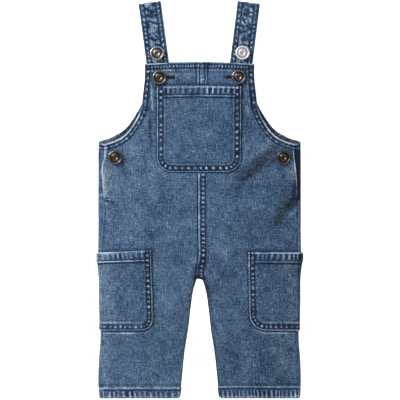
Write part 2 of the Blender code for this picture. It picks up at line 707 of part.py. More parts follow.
wall("bib_pocket", *bib_pocket())
for strap in STRAPS:
    side = strap.side
    inward = 1.0 if side == "left" else -1.0
    side_x = -inward * SIDE_BUTTON_OUT
    front_piece = wall(f"front_{side}", *front(side))
    back_points, back_normals, back_kept = back(side)
    back_piece = wall(f"back_{side}", back_points, back_normals, kept=back_kept)
    wall(f"side_pocket_{side}", *side_pocket(side))
    strap_points, strap_normals = strap_wall(strap)
    strap_piece = wall(f"strap_{side}", strap_points, strap_normals, thick=STRAP_THICK)

    tack = 2 * STRAP_FOLD - STRAP_THICK - GAP - TACK_THICK
    spare_x = float(strap_centre(strap, strap.spare_up))
    button(f"button_bib_{side}", strap.button, strap.button_up, tack, BIB_SHANK)
    button(f"button_strap_{side}", spare_x, strap.spare_up, tack, SPARE_SHANK)
    side_face = float(face(np.array([[side_x]]), np.array([[SIDE_BUTTON_UP]]))[0, 0])
    side_tack = side_face - UNDERLAP_DROP - WALL - 2 * GAP - TACK_THICK
    button(f"button_side_{side}", side_x, SIDE_BUTTON_UP, side_tack, SIDE_SHANK)

    low = tack + TACK_THICK
    hole, slot = round_outline(SHANK_HOLE), keyhole_outline(inward * BIB_SLOT)
    cut(strap_piece, prism(f"cut_spare_{side}", hole, spare_x, strap.spare_up, low))
    cut(strap_piece, prism(f"cut_shank_{side}", hole, strap.button, strap.button_up, low))
    cut(front_piece, prism(f"cut_bib_slot_{side}", slot, strap.button, strap.button_up, low))
    low = side_tack + TACK_THICK
    slot = keyhole_outline(-inward * SIDE_SLOT)
    cut(back_piece, prism(f"cut_underlap_{side}", hole, side_x, SIDE_BUTTON_UP, low))
    cut(front_piece, prism(f"cut_side_slot_{side}", slot, side_x, SIDE_BUTTON_UP, low))
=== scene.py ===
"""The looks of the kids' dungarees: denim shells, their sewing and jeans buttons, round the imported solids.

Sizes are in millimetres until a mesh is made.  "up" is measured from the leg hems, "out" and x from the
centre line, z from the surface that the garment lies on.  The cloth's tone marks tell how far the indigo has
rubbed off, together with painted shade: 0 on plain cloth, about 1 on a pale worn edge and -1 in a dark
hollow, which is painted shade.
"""

import math
from collections import namedtuple

import bmesh
import bpy
import numpy as np
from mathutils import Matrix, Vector
from mathutils.bvhtree import BVHTree


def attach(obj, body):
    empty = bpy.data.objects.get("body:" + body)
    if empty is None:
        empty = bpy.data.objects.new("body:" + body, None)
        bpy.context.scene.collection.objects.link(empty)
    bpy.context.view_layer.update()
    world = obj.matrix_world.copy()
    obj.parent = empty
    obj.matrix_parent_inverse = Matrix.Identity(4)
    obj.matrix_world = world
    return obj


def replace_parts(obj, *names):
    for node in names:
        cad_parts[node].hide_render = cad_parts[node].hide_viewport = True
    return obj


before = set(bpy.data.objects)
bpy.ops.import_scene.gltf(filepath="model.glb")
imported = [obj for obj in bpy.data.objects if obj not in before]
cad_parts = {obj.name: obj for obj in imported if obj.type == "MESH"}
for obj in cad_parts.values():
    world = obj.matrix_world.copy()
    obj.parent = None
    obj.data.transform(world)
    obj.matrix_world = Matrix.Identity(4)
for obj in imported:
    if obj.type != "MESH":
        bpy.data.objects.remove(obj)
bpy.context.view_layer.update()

MM = 0.001
SIDES = ("left", "right")
SIGN = {"left": -1.0, "right": 1.0}  # the way a side lies from the centre line
UPWARD = (0.0, 0.0, 1.0)
DOWNWARD = (0.0, 0.0, -1.0)
FACES_DOWN = -0.6  # cloth whose normal has a lower z lies on what is beneath it, so its relief is drawn in

# The cut of the cloth, as in the solids
LENGTH = 477.5  # leg hem to the fold of the straps
WALL = 1.2  # one layer of denim
CLEARANCE = 0.3  # where two pieces meet
AIR = 1.2  # loft between front and back where they lie slack
BAND = 0.8  # how far a turned hem or a lapped seam stands up
STEP = 0.3  # half the width of the step at a band's edge
BIB_TOP = 403.7
BIB_CORNER_DROP = 2.5
SEAM_BARE_TOP = 378.2  # behind the bib pocket the lapped seam is left flat, from here
SEAM_BARE_FOOT = 269.7  # to here
CORNER = 275.0  # the row that ends at the foot of the armhole
PLACKET_FOOT = 220.0  # the row that ends at the foot of the side opening
PLACKET_FOOT_UP = 239.4  # the same row's height at the side
CROTCH = 143.1
EDGE_ROUND = 2.3  # radius of the rounded inner leg edge
EDGE_MID = 2.2  # height at which front and back meet along the inner leg
ROW_BEND = 1.6  # rows run level from the centre and lean more towards the side
NEAR_FOLD = 2.5  # how far in from the side fold the front's height sets the roll's radius
SIDE_RISE = 1.1  # how much the front lifts towards the side folds,
OPENING_RISE = 1.4  # at the side openings on top of that,
INNER_RISE = 0.5  # along the inner legs,
BIB_RISE = 4.1  # and on the bib, which the straps beneath hold up
SIDE_RISE_WIDE = 40.0  # how far in from the side fold the front lifts,
OPENING_RISE_WIDE = 35.0  # at the opening from a flat ledge on,
OPENING_LEDGE = 30.0  # which is this wide,
INNER_RISE_WIDE = 25.0  # and in from the inner leg
OPENING_RISE_FOOT = 229.0  # the heights where the rise at the opening begins and ends, and over what lengths
OPENING_RISE_TOP = 340.0
OPENING_RISE_IN = 16.0
OPENING_RISE_OUT = 36.0
BIB_RISE_FOOT = 318.0  # the bib begins to rise here
BIB_RISE_IN = 48.0
BIB_RISE_MIDDLE = 0.12  # the share of its rise that is left half way between the straps
STRAP_NEAR = 32.0  # how far out from there the straps hold the bib up in full
ARM_HEM = 8.5
LEG_HEM = 12.3
HEM_CORNER = 3.6
SEAM_LAP = 1.1  # how far the right panel's skin reaches over the left one's
UNDERLAP = 24.0  # how far the back reaches under the front at the side opening
UNDERLAP_DROP = WALL + CLEARANCE
STRAP_WIDE = 27.2
STRAP_THICK = 2.4
STRAP_TOP = 475.7
STRAP_FOLD = 3.2  # radius of the shoulder fold, half the height of the doubled strap
STRAP_BEND = 22.0  # length over which a strap bends from its run to its button
STRAP_CLIMB = 6.0  # a strap starts to lie over the back's edge this far above it,
STRAP_CLIMB_LONG = 5.0  # over this length
STRAP_FRONT_END = 370.5
STRAP_REAR_END = 352.0
BACK_TOP = 363.0
POCKET_TOP = 175.4
POCKET_FOOT = 81.3
POCKET_REAR_IN = 72.0  # where a side pocket's rear edge lies, from the centre line
POCKET_FRONT_END = 119.0  # where its foot ends at the fold in front,
POCKET_REAR_END = 116.0  # and behind
MOUTH_END = 122.0
LEDGE = 10.0  # how far past the pocket the back is still held up
RAMP = 16.0  # length of the slope where the back comes down from there to the surface
POCKET_SLACK = 1.1
BIB_POCKET_WIDE = 100.8
BIB_POCKET_MIDDLE = -0.5
BIB_POCKET_TOP = 375.3
BIB_POCKET_DIP = 1.2  # how far the mouth's ends lie below its middle
BIB_POCKET_FOOT = 271.8
BIB_POCKET_CORNER = 18.0
BIB_POCKET_SLACK = 0.8
SHANK_HOLE = 2.5
BUTTONHOLE_SLOT = 1.8
BIB_SLOT = 18.0  # from the shank to the far end of a buttonhole
SIDE_SLOT = 8.5
TACK_LONG = 6.5
SIDE_BUTTON_OUT = 101.0
SIDE_BUTTON_UP = 289.3
OUT_OF_REACH = 99.0  # farther from an edge than any hem's marks go

# The free edge of the bib and armhole: where each row ends
Arm = namedtuple("Arm", "centre out up")
CORNER_UP = 305.6  # the front's outer corner under the arm
BACK_CORNER_UP = 309.2
FRONT_ARM = [Arm(*row) for row in (
    (403.7, 65.7, 401.2), (387.2, 65.7, 385.6), (365.6, 68.0, 363.9), (354.4, 69.2, 354.0),
    (341.6, 73.0, 341.7), (328.0, 79.7, 329.6), (315.0, 86.6, 320.0), (302.0, 94.4, 313.4),
    (288.5, 103.0, 309.1), (275.0, 114.0, CORNER_UP),
)]
BACK_ARM = [Arm(*row) for row in (
    (363.0, 66.0, 363.0), (349.0, 72.2, 348.6), (335.0, 81.0, 334.2), (322.0, 87.0, 326.2),
    (309.0, 94.2, 319.9), (298.0, 101.4, 315.9), (287.0, 109.2, 312.1), (275.0, 119.3, BACK_CORNER_UP),
)]
# The height at the side of the rows below the armhole
Lean = namedtuple("Lean", "centre front back")
LEANS = [Lean(*row) for row in (
    (275.0, CORNER_UP, BACK_CORNER_UP), (269.7, 297.2, 298.2), (262.0, 288.2, 288.2), (220.0, 239.4, 239.4),
    (174.8, 174.8, 174.8), (0.0, 0.0, 0.0),
)]
Fold = namedtuple("Fold", "up out")
SIDE_FOLD = [Fold(*row) for row in (
    (310.0, 121.6), (240.0, 121.8), (182.0, 121.9), (168.0, 122.2), (146.0, 120.2), (118.0, 119.6),
    (90.0, 119.0), (67.0, 119.4), (53.0, 120.6), (24.0, 121.8), (0.0, 121.4),
)]
# How far in from the side fold each side seam runs
Seam = namedtuple("Seam", "up left right")
SIDE_SEAM = [Seam(*row) for row in (
    (CORNER_UP, 7.7, 7.7), (292.0, 7.2, 7.9), (276.0, 4.0, 6.0), (262.0, 4.6, 4.9), (240.0, 7.0, 4.3),
    (222.0, 9.4, 4.2), (198.0, 6.8, 4.0), (176.0, 4.8, 4.0), (78.0, 3.6, 3.6), (30.0, 3.6, 3.6),
    (12.0, 7.0, 4.4), (0.0, 7.0, 4.4),
)]
Inseam = namedtuple("Inseam", "up out")
INNER_LEG = [Inseam(*row) for row in (
    (139.8, 4.3), (132.6, 6.6), (111.0, 10.2), (82.0, 13.8), (53.4, 18.0), (24.6, 21.0), (0.0, 23.6),
)]
# How far the centre seam lies from the centre line at its top, and how it wanders below: how far it moves
# over, from which height down, and over what length
SEAM_TOP_OUT = -0.5
Shift = namedtuple("Shift", "by top tall")
SEAM_SHIFTS = [Shift(0.5, 215, 40), Shift(-3.4, 172, 24), Shift(1.5, 150, 7)]
Crease = namedtuple("Crease", "x0 up0 x1 up1 wide high")
CREASES = [Crease(*row) for row in (
    (-58, 346, -60, 298, 9, -0.9), (-72, 322, -74, 296, 9, 0.5), (57, 350, 61, 324, 9, -0.7),
    (78, 284, 46, 248, 11, -1.1), (66, 304, 38, 266, 12, 0.5), (88, 262, 62, 232, 13, 0.7),
    (-40, 236, -66, 214, 14, -0.6), (-12, 176, -34, 150, 10, -0.7), (14, 172, 36, 148, 10, -0.7),
    (-78, 206, -90, 190, 12, 0.5), (-60, 60, -66, 28, 14, 0.5), (64, 64, 58, 26, 14, 0.6),
    (-30, 96, -38, 60, 12, -0.5),
)]
Strap = namedtuple("Strap", "side top edge button button_up spare_up spare_aside")
STRAPS = {
    "left": Strap("left", -60.0, -50.4, -47.9, 385.2, 414.2, 1.0),
    "right": Strap("right", 59.2, 50.2, 47.0, 385.8, 414.6, 0.0),
}
# A side pocket's sewn edges, and its tone: all over, paler near the side fold, and right on the fold, which
# on the right pocket is painted shade as that fold faces away from the light; and how far its blue has
# greyed past a place
SidePocket = namedtuple(
    "SidePocket", "inner_top inner_foot top_up corner tone by_fold on_fold dull dull_past dull_run")
SIDE_POCKETS = {
    "left": SidePocket(58.1, 55.5, 177.8, 14.6, -0.13, 0.34, 0.0, 0.2, 104, 10),
    "right": SidePocket(58.4, 59.8, POCKET_TOP, 20.0, 0.03, 0.12, -0.5, 0.35, 96, 12),
}

# Crease troughs, shadows, ridges and rubbed places that only the cloth's surface has.  The dark ones are
# painted shade in the troughs, at the crotch and round the buttonhole bars; the pale ones are rubbed places,
# and painted light on ridges beside the troughs.  Each is a run of (x, up) places, its half width, the tone
# on it, its height, and how far its blue has greyed
Fade = namedtuple("Fade", "places wide wear high dull", defaults=(0.0,))
SHADES_AND_RUBS = [Fade(*row) for row in (
    # painted shade in the fold that runs down and in from the right side button
    ([(88.5, 300), (70.5, 280), (60, 269)], 5.4, -0.36, -0.34, 0.65),
    ([(60, 268), (51, 261), (45, 252)], 3.0, -0.36, -0.34, 0.35),
    ([(86, 310), (66, 292), (50, 280)], 5.0, 0.15, 0.3),
    ([(80, 272), (64, 260)], 6.0, 0.15, 0.2),
    ([(116, 237), (101, 227), (94, 212)], 5.5, -0.5, -0.4, 0.7),
    ([(116, 226), (108, 219)], 2.6, 0.5, 0.2),
    ([(115, 281), (114, 272)], 4.0, 0.45, 0.2, 0.5),
    ([(107, 284), (107, 268)], 6.0, 0.25, 0.1, 0.3),
    ([(115, 257), (115, 244)], 3.4, -0.75, -0.2, 0.3),
    ([(109, 239.2), (119, 239.2)], 1.0, -1.3, -0.2),
    ([(117.5, 235), (118, 214)], 1.0, -0.6, -0.1),
    ([(-59, 379), (-57, 369), (-57.4, 361), (-56, 347)], 1.3, 0.85, 0.4, 0.2),
    ([(-60.6, 372), (-60, 358)], 1.1, -0.6, -0.25),
    ([(-53.4, 372), (-53.8, 356)], 1.1, -0.5, -0.25),
    ([(-60, 334), (-58, 302)], 1.6, -0.7, -0.3),
    ([(-65, 334), (-64, 327)], 3.0, 0.5, 0.25),
    ([(57, 372), (59, 342)], 2.2, 0.5, 0.3),
    ([(61, 368), (63, 346)], 1.8, -0.55, -0.25),
    # painted shade at the crotch
    ([(-5, 145.6), (5, 144.6)], 2.2, -1.5, -0.2, 0.5),
    ([(-4, 152), (3, 158)], 5.0, -0.4, -0.2),
    ([(-5.5, 143), (-7, 134)], 1.6, -0.8, -0.1),
    ([(5.5, 142), (8, 130)], 2.6, -0.35, -0.1),
    ([(-114, 276), (-115, 250)], 5.0, 0.1, 0.1, 0.5),
    ([(-116, 237.2), (-109.5, 237)], 0.9, -1.9, -0.2),
    ([(-109, 236.2), (-103, 235.4)], 1.6, -0.7, -0.2),
    ([(-113.4, 234.2), (-111, 234.2)], 1.3, 0.9, 0.1),
    ([(-96, 292), (-88, 272)], 6.0, -0.3, -0.3),
    ([(-70, 238), (-52, 222)], 6.0, -0.2, -0.3),
    ([(-67, 72), (-66, 44)], 7.0, -0.28, -0.3),
    ([(-42, 70), (-46, 30)], 5.0, -0.1, -0.2),
    ([(70, 70), (76, 38)], 6.0, -0.12, -0.2),
    ([(97, 74), (100, 36)], 11.0, 0.32, 0.3, 0.3),
    ([(44, 72), (45, 40)], 6.0, -0.2, -0.2),
    ([(-86, 197), (-40, 195)], 5.5, -0.26, -0.2),
    ([(-116, 184), (-74, 185)], 3.6, -0.22, -0.2),
    ([(6, 176), (6, 156)], 6.0, -0.2, -0.2),
    ([(30, 177), (32, 158)], 6.5, 0.3, 0.3),
    ([(9, 133), (14, 104)], 4.5, -0.24, -0.1),
    ([(-9, 130), (-14, 108)], 4.0, -0.2, -0.1),
    ([(54, 320), (74, 300)], 6.5, 0.22, 0.2),
    ([(-42, 389), (-14, 389)], 4.6, 0.26, 0.1, 0.2),
    # painted shadow round the bars of the two bib buttonholes
    ([(-40, 384.8), (-32, 385.5)], 1.6, -0.9, -0.1),
    ([(38.5, 385.4), (32, 385.8)], 1.4, -0.8, -0.1),
    ([(-0.8, 162), (-2.8, 152), (-1.8, 146)], 1.0, -0.8, -0.1),
)]

# Sewing: how far in from its finished edge each hem is folded and each of its rows of stitches runs, how far
# apart its puckers are, the bands that they fill, and the soft lines that run along it: pale ones where the
# indigo has rubbed off, and dark ones of painted shade along the rows of stitches, the rolled edges and
# beneath the fold
Beads = namedtuple("Beads", "depth half crest")
Mark = namedtuple("Mark", "depth half wear")
Hem = namedtuple("Hem", "wide rows pitch beads marks")


def hem(wide, rows, pitch, beads, marks):
    return Hem(wide, rows, pitch, [Beads(*row) for row in beads], [Mark(*row) for row in marks])


TOP_HEM = hem(10.0, (7.0,), 3.6, [(4.6, 1.7, 0.95), (9.4, 1.0, 0.4)], [
    (0.6, 0.7, 0.3), (2.3, 0.8, -0.95), (7.0, 0.8, -1.15), (9.4, 0.9, 0.35), (11.6, 0.9, -0.4)])
ARMHOLE = hem(8.8, (3.3, 7.4), 7.0, [(5.4, 1.4, 0.85)], [
    (1.35, 0.95, 1.2), (3.3, 0.8, -1.3), (5.5, 1.0, 0.3), (7.4, 0.75, -0.9), (9.3, 0.9, 0.25)])
BIB_SIDE = hem(9.4, (6.0,), 7.6, [(3.7, 1.6, 1.2)], [
    (1.7, 1.0, -0.95), (3.7, 1.0, 0.5), (6.0, 0.85, -1.2), (8.7, 1.1, 0.2), (10.7, 0.9, -0.5)])
LAPPED = hem(10.2, (2.0, 7.7), 5.4, [(4.7, 2.1, 1.3)], [
    (0.75, 0.75, 1.0), (2.05, 0.75, -1.25), (4.7, 1.9, 0.12), (7.7, 0.8, -1.0), (10.2, 2.0, 0.2)])
BIB_SEAM = hem(10.2, (1.1, 6.3), 5.4, [(3.6, 2.0, 0.6)], [
    (0.0, 0.55, 1.0), (1.0, 0.55, -1.3), (2.3, 0.9, 1.1), (5.0, 0.7, 0.45), (6.3, 0.8, -0.8),
    (8.5, 0.9, 0.25), (10.1, 0.9, -0.9)])
LEG = {
    "left": hem(13.2, (10.1,), 6.4, [(4.8, 3.6, 1.15)], [
        (1.6, 1.5, 0.45), (6.5, 3.0, -0.05), (10.0, 0.8, -1.0), (12.2, 1.0, 0.75), (16.2, 1.3, -0.3)]),
    "right": hem(14.4, (11.8,), 4.8, [(5.4, 4.2, 0.95)], [
        (1.8, 1.5, 0.85), (7.5, 3.5, 0.05), (11.8, 0.8, -0.7), (13.7, 0.9, 0.85), (17.0, 1.2, -0.25)]),
}
PATCH = {
    "left": hem(9.4, (2.5, 7.0), 6.2, [(4.8, 1.6, 1.45), (9.4, 1.1, 0.4)], [
        (0.65, 0.65, 1.5), (2.5, 0.75, -1.3), (4.8, 1.5, -0.1), (7.0, 0.75, -1.3), (11.5, 3.0, -0.08)]),
    "right": hem(9.4, (2.6, 7.1), 6.2, [(4.9, 1.6, 1.35), (9.4, 1.1, 0.4)], [
        (0.75, 0.7, 1.9), (2.6, 0.75, -1.2), (4.9, 1.5, 0.05), (7.1, 0.75, -1.3), (10.2, 1.0, 0.15)]),
}
BIB_PATCH = hem(9.4, (2.1, 7.1), 7.4, [(4.7, 1.5, 1.9)], [
    (0.6, 0.6, 0.75), (2.1, 0.8, -1.35), (7.1, 0.8, -1.05), (9.2, 0.8, 0.3), (10.9, 0.8, -0.4)])
SIDE_MOUTH = {
    "left": hem(12.6, (10.1,), 6.0, [(5.4, 3.6, 0.9)], [
        (1.1, 0.9, 0.95), (2.8, 1.0, 0.15), (5.4, 3.2, 0.0), (10.1, 0.8, -0.85), (11.95, 0.85, 1.0),
        (13.5, 0.85, -1.3), (15.9, 1.8, -0.1)]),
    "right": hem(12.4, (9.8,), 6.0, [(5.4, 3.6, 0.9)], [
        (0.8, 0.9, 1.45), (5.0, 3.0, 0.0), (9.7, 0.8, -0.55), (11.5, 0.8, 0.55), (13.4, 1.0, -1.0)]),
}
BIB_MOUTH = hem(12.6, (10.1,), 6.6, [(5.6, 3.6, 1.2)], [
    (1.4, 0.9, 0.95), (4.9, 2.4, -0.1), (10.1, 0.8, -0.95), (11.9, 0.75, 0.75), (13.4, 0.9, -1.05)])
STRAP_EDGE = hem(7.2, (6.4,), 5.9, [(4.1, 1.4, 0.9)], [
    (2.2, 0.8, -0.95), (4.1, 0.9, 0.25), (6.4, 0.8, -1.1)])
STITCH_PITCH = 3.3
STITCH_LONG = 2.5
THREAD = 0.27  # radius
CHANNEL = 0.8  # half the width of the hollow that a row of stitches draws
OTHER_EDGE = 300  # the marks along a strap's right edge are those that lie this much farther along

# How the rows of a panel's grid are spaced, and its columns along an edge, in stretches of (first, last,
# step): close together where the cloth is sewn or folded
FRONT_ROWS = (
    (BIB_TOP, 401.4, 0.4), (401.4, 390.6, 0.55), (390.6, 284.0, 1.3), (284.0, CORNER, 0.8),
    (CORNER, 258.0, 0.75), (258.0, 147.0, 1.35), (147.0, 139.0, 0.5), (139.0, 18.0, 1.35),
    (18.0, 9.0, 0.55), (9.0, 1.5, 1.2), (1.5, 0, 0.4),
)
FRONT_AT_SEAM = ((0, 0.9, 0.3), (0.9, 3.2, 0.45), (3.2, 6.6, 0.8), (6.6, 12.2, 0.5))
FRONT_AT_HEM = ((12.2, 9.0, 0.65), (9.0, 0.9, 0.55), (0.9, 0, 0.3))
BACK_ROWS = (
    (BACK_TOP, 361.0, 0.5), (361.0, 353.0, 0.8), (353.0, CORNER, 1.9), (CORNER, 264.0, 0.6),
    (264.0, 17.0, 2.0), (17.0, 10.0, 0.7), (10.0, 0, 1.4),
)
BACK_AT_SEAM = ((0, 0.9, 0.3), (0.9, 3.3, 0.6), (3.3, 9.3, 0.75))
BACK_AT_HEM = ((8.5, 1.0, 0.75), (1.0, 0, 0.35))
FRONT_BETWEEN = 68  # columns of a front between those at its seam and those at its hem,
BACK_BETWEEN = 44  # of a back,
POCKET_BETWEEN = 44  # and of a side pocket
ROLL_TURNS = 13  # columns round a side fold
FOLD_TURNS = np.radians(np.linspace(75, -75, 11))  # rows round a strap's shoulder fold
FROM_SEAM = np.array([0.66, 0.33])  # the columns between there and the side seam

# Where the uneven marks of each piece begin, and where it lay on the roll of cloth
SEED = {
    "front_left": 11, "front_right": 47, "back_left": 83, "back_right": 131, "bib_pocket": 211,
    "side_pocket_left": 311, "side_pocket_right": 367, "strap_left": 401, "strap_right": 433,
}
ROLL = {
    "front_left": -40, "front_right": 40, "back_left": 240, "back_right": 360, "bib_pocket": 700,
    "side_pocket_left": 850, "side_pocket_right": 950, "strap_left": 1200, "strap_right": 1200,
}


def ease(t):
    """From 0 to 1 along a smooth step, while t goes from 0 to 1."""
    t = np.clip(t, 0.0, 1.0)
    return t * t * (3.0 - 2.0 * t)


def bump(t):
    """A soft ridge of height 1 at 0 that has all but faded at 2."""
    return np.exp(-(np.asarray(t) ** 2))


def within(d, wide):
    """1 on a band of this width, 0 past it, with a short step between."""
    return 1 - ease((d - wide + STEP) / (2 * STEP))


def rolled(d, by, over=1.2):
    """How far a folded edge curls down over its last stretch."""
    return -by * np.clip(1 - d / over, 0, 1) ** 2


def curve(table, key, value, at):
    """A smooth curve through a table's rows: value against key, with Catmull-Rom slopes."""
    rows = sorted(table, key=lambda row: getattr(row, key))
    x = np.array([getattr(row, key) for row in rows], float)
    y = np.array([getattr(row, value) for row in rows], float)
    slope = np.gradient(y, x)
    at = np.clip(np.asarray(at, float), x[0], x[-1])
    i = np.clip(np.searchsorted(x, at, side="right") - 1, 0, len(x) - 2)
    run = x[i + 1] - x[i]
    t = (at - x[i]) / run
    ends = y[i] * (1 + 2 * t) * (1 - t) ** 2 + y[i + 1] * t**2 * (3 - 2 * t)
    bends = slope[i] * t * (1 - t) ** 2 - slope[i + 1] * t**2 * (1 - t)
    return ends + run * bends


def straight(table, key, value, at):
    """The same in straight runs from row to row."""
    rows = sorted(table, key=lambda row: getattr(row, key))
    return np.interp(at, [getattr(row, key) for row in rows], [getattr(row, value) for row in rows])


def noise_along(t, size, seed):
    """Smooth uneven values from -1 to 1 along a line, changing over about size."""
    values = np.random.RandomState(seed).uniform(-1, 1, 512)
    t = np.asarray(t, float) / size
    i = np.floor(t).astype(int)
    share = ease(t - i)
    return values[i % 512] * (1 - share) + values[(i + 1) % 512] * share


def noise_over(x, up, size, seed):
    """Smooth uneven values from -1 to 1 over a surface."""
    values = np.random.RandomState(seed).uniform(-1, 1, (128, 128))
    x, up = np.asarray(x, float) / size, np.asarray(up, float) / size
    i, j = np.floor(x).astype(int), np.floor(up).astype(int)
    across, along = ease(x - i), ease(up - j)
    low = values[i % 128, j % 128] * (1 - across) + values[(i + 1) % 128, j % 128] * across
    high = values[i % 128, (j + 1) % 128] * (1 - across) + values[(i + 1) % 128, (j + 1) % 128] * across
    return low * (1 - along) + high * along


def puckers(s, pitch, seed):
    """Uneven puckers along a seam: about -0.8 in the hollows, up to 1.3 on the crests, near 0 on average."""
    turn = s / pitch + 0.3 * noise_along(s, pitch * 2.1, seed)
    crest = np.exp(1.5 * (np.cos(2 * math.pi * turn) - 1))
    strength = 0.85 + 0.5 * noise_along(s, pitch * 1.6, seed + 1)
    return (2.0 * crest - 0.8) * strength


def runs(*stretches):
    """Values along stretches of (first, last, step), each value once."""
    values = [np.linspace(a, b, max(2, math.ceil(abs(b - a) / step) + 1)) for a, b, step in stretches]
    return np.concatenate([values[0]] + [v[1:] for v in values[1:]])


def lengths_along(points):
    """Distance along each row of points from its first."""
    steps = np.linalg.norm(np.diff(points, axis=-2), axis=-1)
    return np.concatenate([np.zeros((*steps.shape[:-1], 1)), np.cumsum(steps, axis=-1)], axis=-1)


def places_at(at, s, points):
    """Points at some lengths along a run of points that has its own at lengths s."""
    return np.column_stack([np.interp(at, s, column) for column in points.T])


def to_left(points):
    """The direction to the left of a run of points, at each of them."""
    ahead = np.gradient(points, axis=0)
    ahead /= np.hypot(*ahead.T)[:, None]
    return np.column_stack([-ahead[:, 1], ahead[:, 0]])


class Line:
    """A run of points over a panel, with the distance from it and the length along it of any place."""

    def __init__(self, points):
        self.points = np.asarray(points, float)
        self.runs = np.diff(self.points, axis=0)
        self.lengths = np.hypot(*self.runs.T)
        self.starts = np.concatenate([[0.0], np.cumsum(self.lengths)])

    def near(self, x, up):
        x, up = np.asarray(x, float), np.asarray(up, float)
        best = np.full(x.shape, np.inf)
        s = np.zeros(x.shape)
        for (x0, up0), (dx, dup), length, start in zip(self.points, self.runs, self.lengths, self.starts):
            if length == 0:
                continue
            t = np.clip(((x - x0) * dx + (up - up0) * dup) / length**2, 0.0, 1.0)
            far = np.hypot(x - x0 - t * dx, up - up0 - t * dup)
            nearer = far < best
            best = np.where(nearer, far, best)
            s = np.where(nearer, start + t * length, s)
        return best, s

    def beside(self, depth, first=0.0, last=0.0):
        """Points at a depth to the left of the line's direction, leaving out its first and last lengths."""
        points = places_at(np.arange(first, self.starts[-1] - last), self.starts, self.points)
        return points + depth * to_left(points)


# ---- The garment's form ----


def fold_out(up):
    """How far out the side fold lies."""
    return curve(SIDE_FOLD, "up", "out", up)


def seam_out(side, up):
    """How far out a side seam lies, and above it the edge of the side opening."""
    return fold_out(up) - curve(SIDE_SEAM, "up", side, up)


def arm_edge(arm, centre):
    """Where rows end at an armhole: how far out, and how far up."""
    return curve(arm, "centre", "out", centre), curve(arm, "centre", "up", centre)


def inner_edge(side, up):
    """Signed place of a panel's inner edge: the centre seam, and below it the inner leg."""
    sway = sum((shift.by * ease((shift.top - up) / shift.tall) for shift in SEAM_SHIFTS), start=SEAM_TOP_OUT)
    seam = sway + SIGN[side] * CLEARANCE / 2
    leg = SIGN[side] * curve(INNER_LEG, "up", "out", up)
    down = np.clip((CROTCH - up) / (CROTCH - INNER_LEG[0].up), 0.0, 1.0)
    arch = (1 - (1 - down) ** 3) ** 0.45
    return seam * (1 - arch) + leg * arch


def between_legs():
    """The edge up the left inner leg, round the crotch and down the right one."""
    ups = np.concatenate([np.arange(0.0, 136.0, 8.0), [139.8, 141.5, 143.2, CROTCH]])
    left, right = (np.column_stack([inner_edge(side, ups), ups]) for side in SIDES)
    return Line(np.vstack([left, right[::-1]]))


BETWEEN_LEGS = between_legs()


def edge_between_legs(x, up):
    """Distance from the edge between the legs, and the direction that leads out across it."""
    best, s = BETWEEN_LEGS.near(x, up)
    i = np.searchsorted(BETWEEN_LEGS.starts, s, side="left") - 1
    i = np.clip(i, 0, len(BETWEEN_LEGS.runs) - 1)
    ahead = BETWEEN_LEGS.runs[i] / BETWEEN_LEGS.lengths[i][..., None]
    return best, ahead[..., 1], -ahead[..., 0]


def lift(x, up):
    """How far the rear part of a side pocket holds the back off the surface."""
    across = ease((np.abs(x) - (POCKET_REAR_IN - LEDGE - RAMP)) / RAMP)
    along = ease((up - (POCKET_FOOT - 3 - RAMP)) / RAMP) * ease((POCKET_TOP + 3 + RAMP - up) / RAMP)
    return (WALL + CLEARANCE) * across * along


def creased(x, up):
    """Height of the creases that the solids have too."""
    high = 0.0
    for crease in CREASES:
        far, _ = Line([(crease.x0, crease.up0), (crease.x1, crease.up1)]).near(x, up)
        high = high + crease.high * bump(far / crease.wide)
    return high


def face(x, up):
    """Height of the front's plain outer face, before its inner leg edge is rounded."""
    inset = fold_out(up) - np.abs(x)
    side = SIDE_RISE * (1 - ease((inset - 4) / SIDE_RISE_WIDE))
    at_opening = ease((up - OPENING_RISE_FOOT) / OPENING_RISE_IN)
    at_opening = at_opening * ease((OPENING_RISE_TOP - up) / OPENING_RISE_OUT)
    side = side + OPENING_RISE * at_opening * (1 - ease((inset - OPENING_LEDGE) / OPENING_RISE_WIDE))
    far, _, _ = edge_between_legs(x, up)
    inner = INNER_RISE * (1 - ease(far / INNER_RISE_WIDE))
    spread = BIB_RISE_MIDDLE + (1 - BIB_RISE_MIDDLE) * ease(np.abs(x) / STRAP_NEAR)
    over_straps = BIB_RISE * spread * ease((up - BIB_RISE_FOOT) / BIB_RISE_IN)
    return 2 * WALL + CLEARANCE + AIR + lift(x, up) + side + inner + over_straps + creased(x, up)


def rounded(x, up, high, facing):
    """Points and normals of a panel whose inner leg edge rolls towards the other panel."""
    far, out_x, out_up = edge_between_legs(x, up)
    far[up[:, 0] <= CROTCH, 0] = 0.0
    t = np.clip(far / EDGE_ROUND, 0.0, 1.0)
    rise = np.sqrt(1 - (1 - t) ** 2)
    edge = EDGE_MID + facing * CLEARANCE / 2
    points = np.stack([x, up, edge + (high - edge) * rise], axis=-1)
    normals = np.stack([out_x * (1 - t), out_up * (1 - t), facing * rise], axis=-1)
    return points, normals


def seam_lap(side, inset, up):
    """How far the right panel's skin reaches over the left panel's at their seam."""
    if side == "left":
        return None
    return SEAM_LAP * (1 - ease(inset / 2.4)) * ease((up - CROTCH - 1) / 3)


def hem_along_rows(centre, out, out_up):
    """How many times wider the armhole's hem is along each row, which meets the edge at a slant."""
    arm = np.flatnonzero(centre >= CORNER)
    edge_x, edge_up = np.gradient(out[arm]), np.gradient(out_up[arm])
    row_x, row_up = out[arm], ROW_BEND * (out_up - centre)[arm]
    wide = row_x * np.hypot(edge_x, edge_up) / np.abs(row_x * edge_up - row_up * edge_x)
    return np.concatenate([wide, np.full(len(centre) - len(arm), wide[-1])])


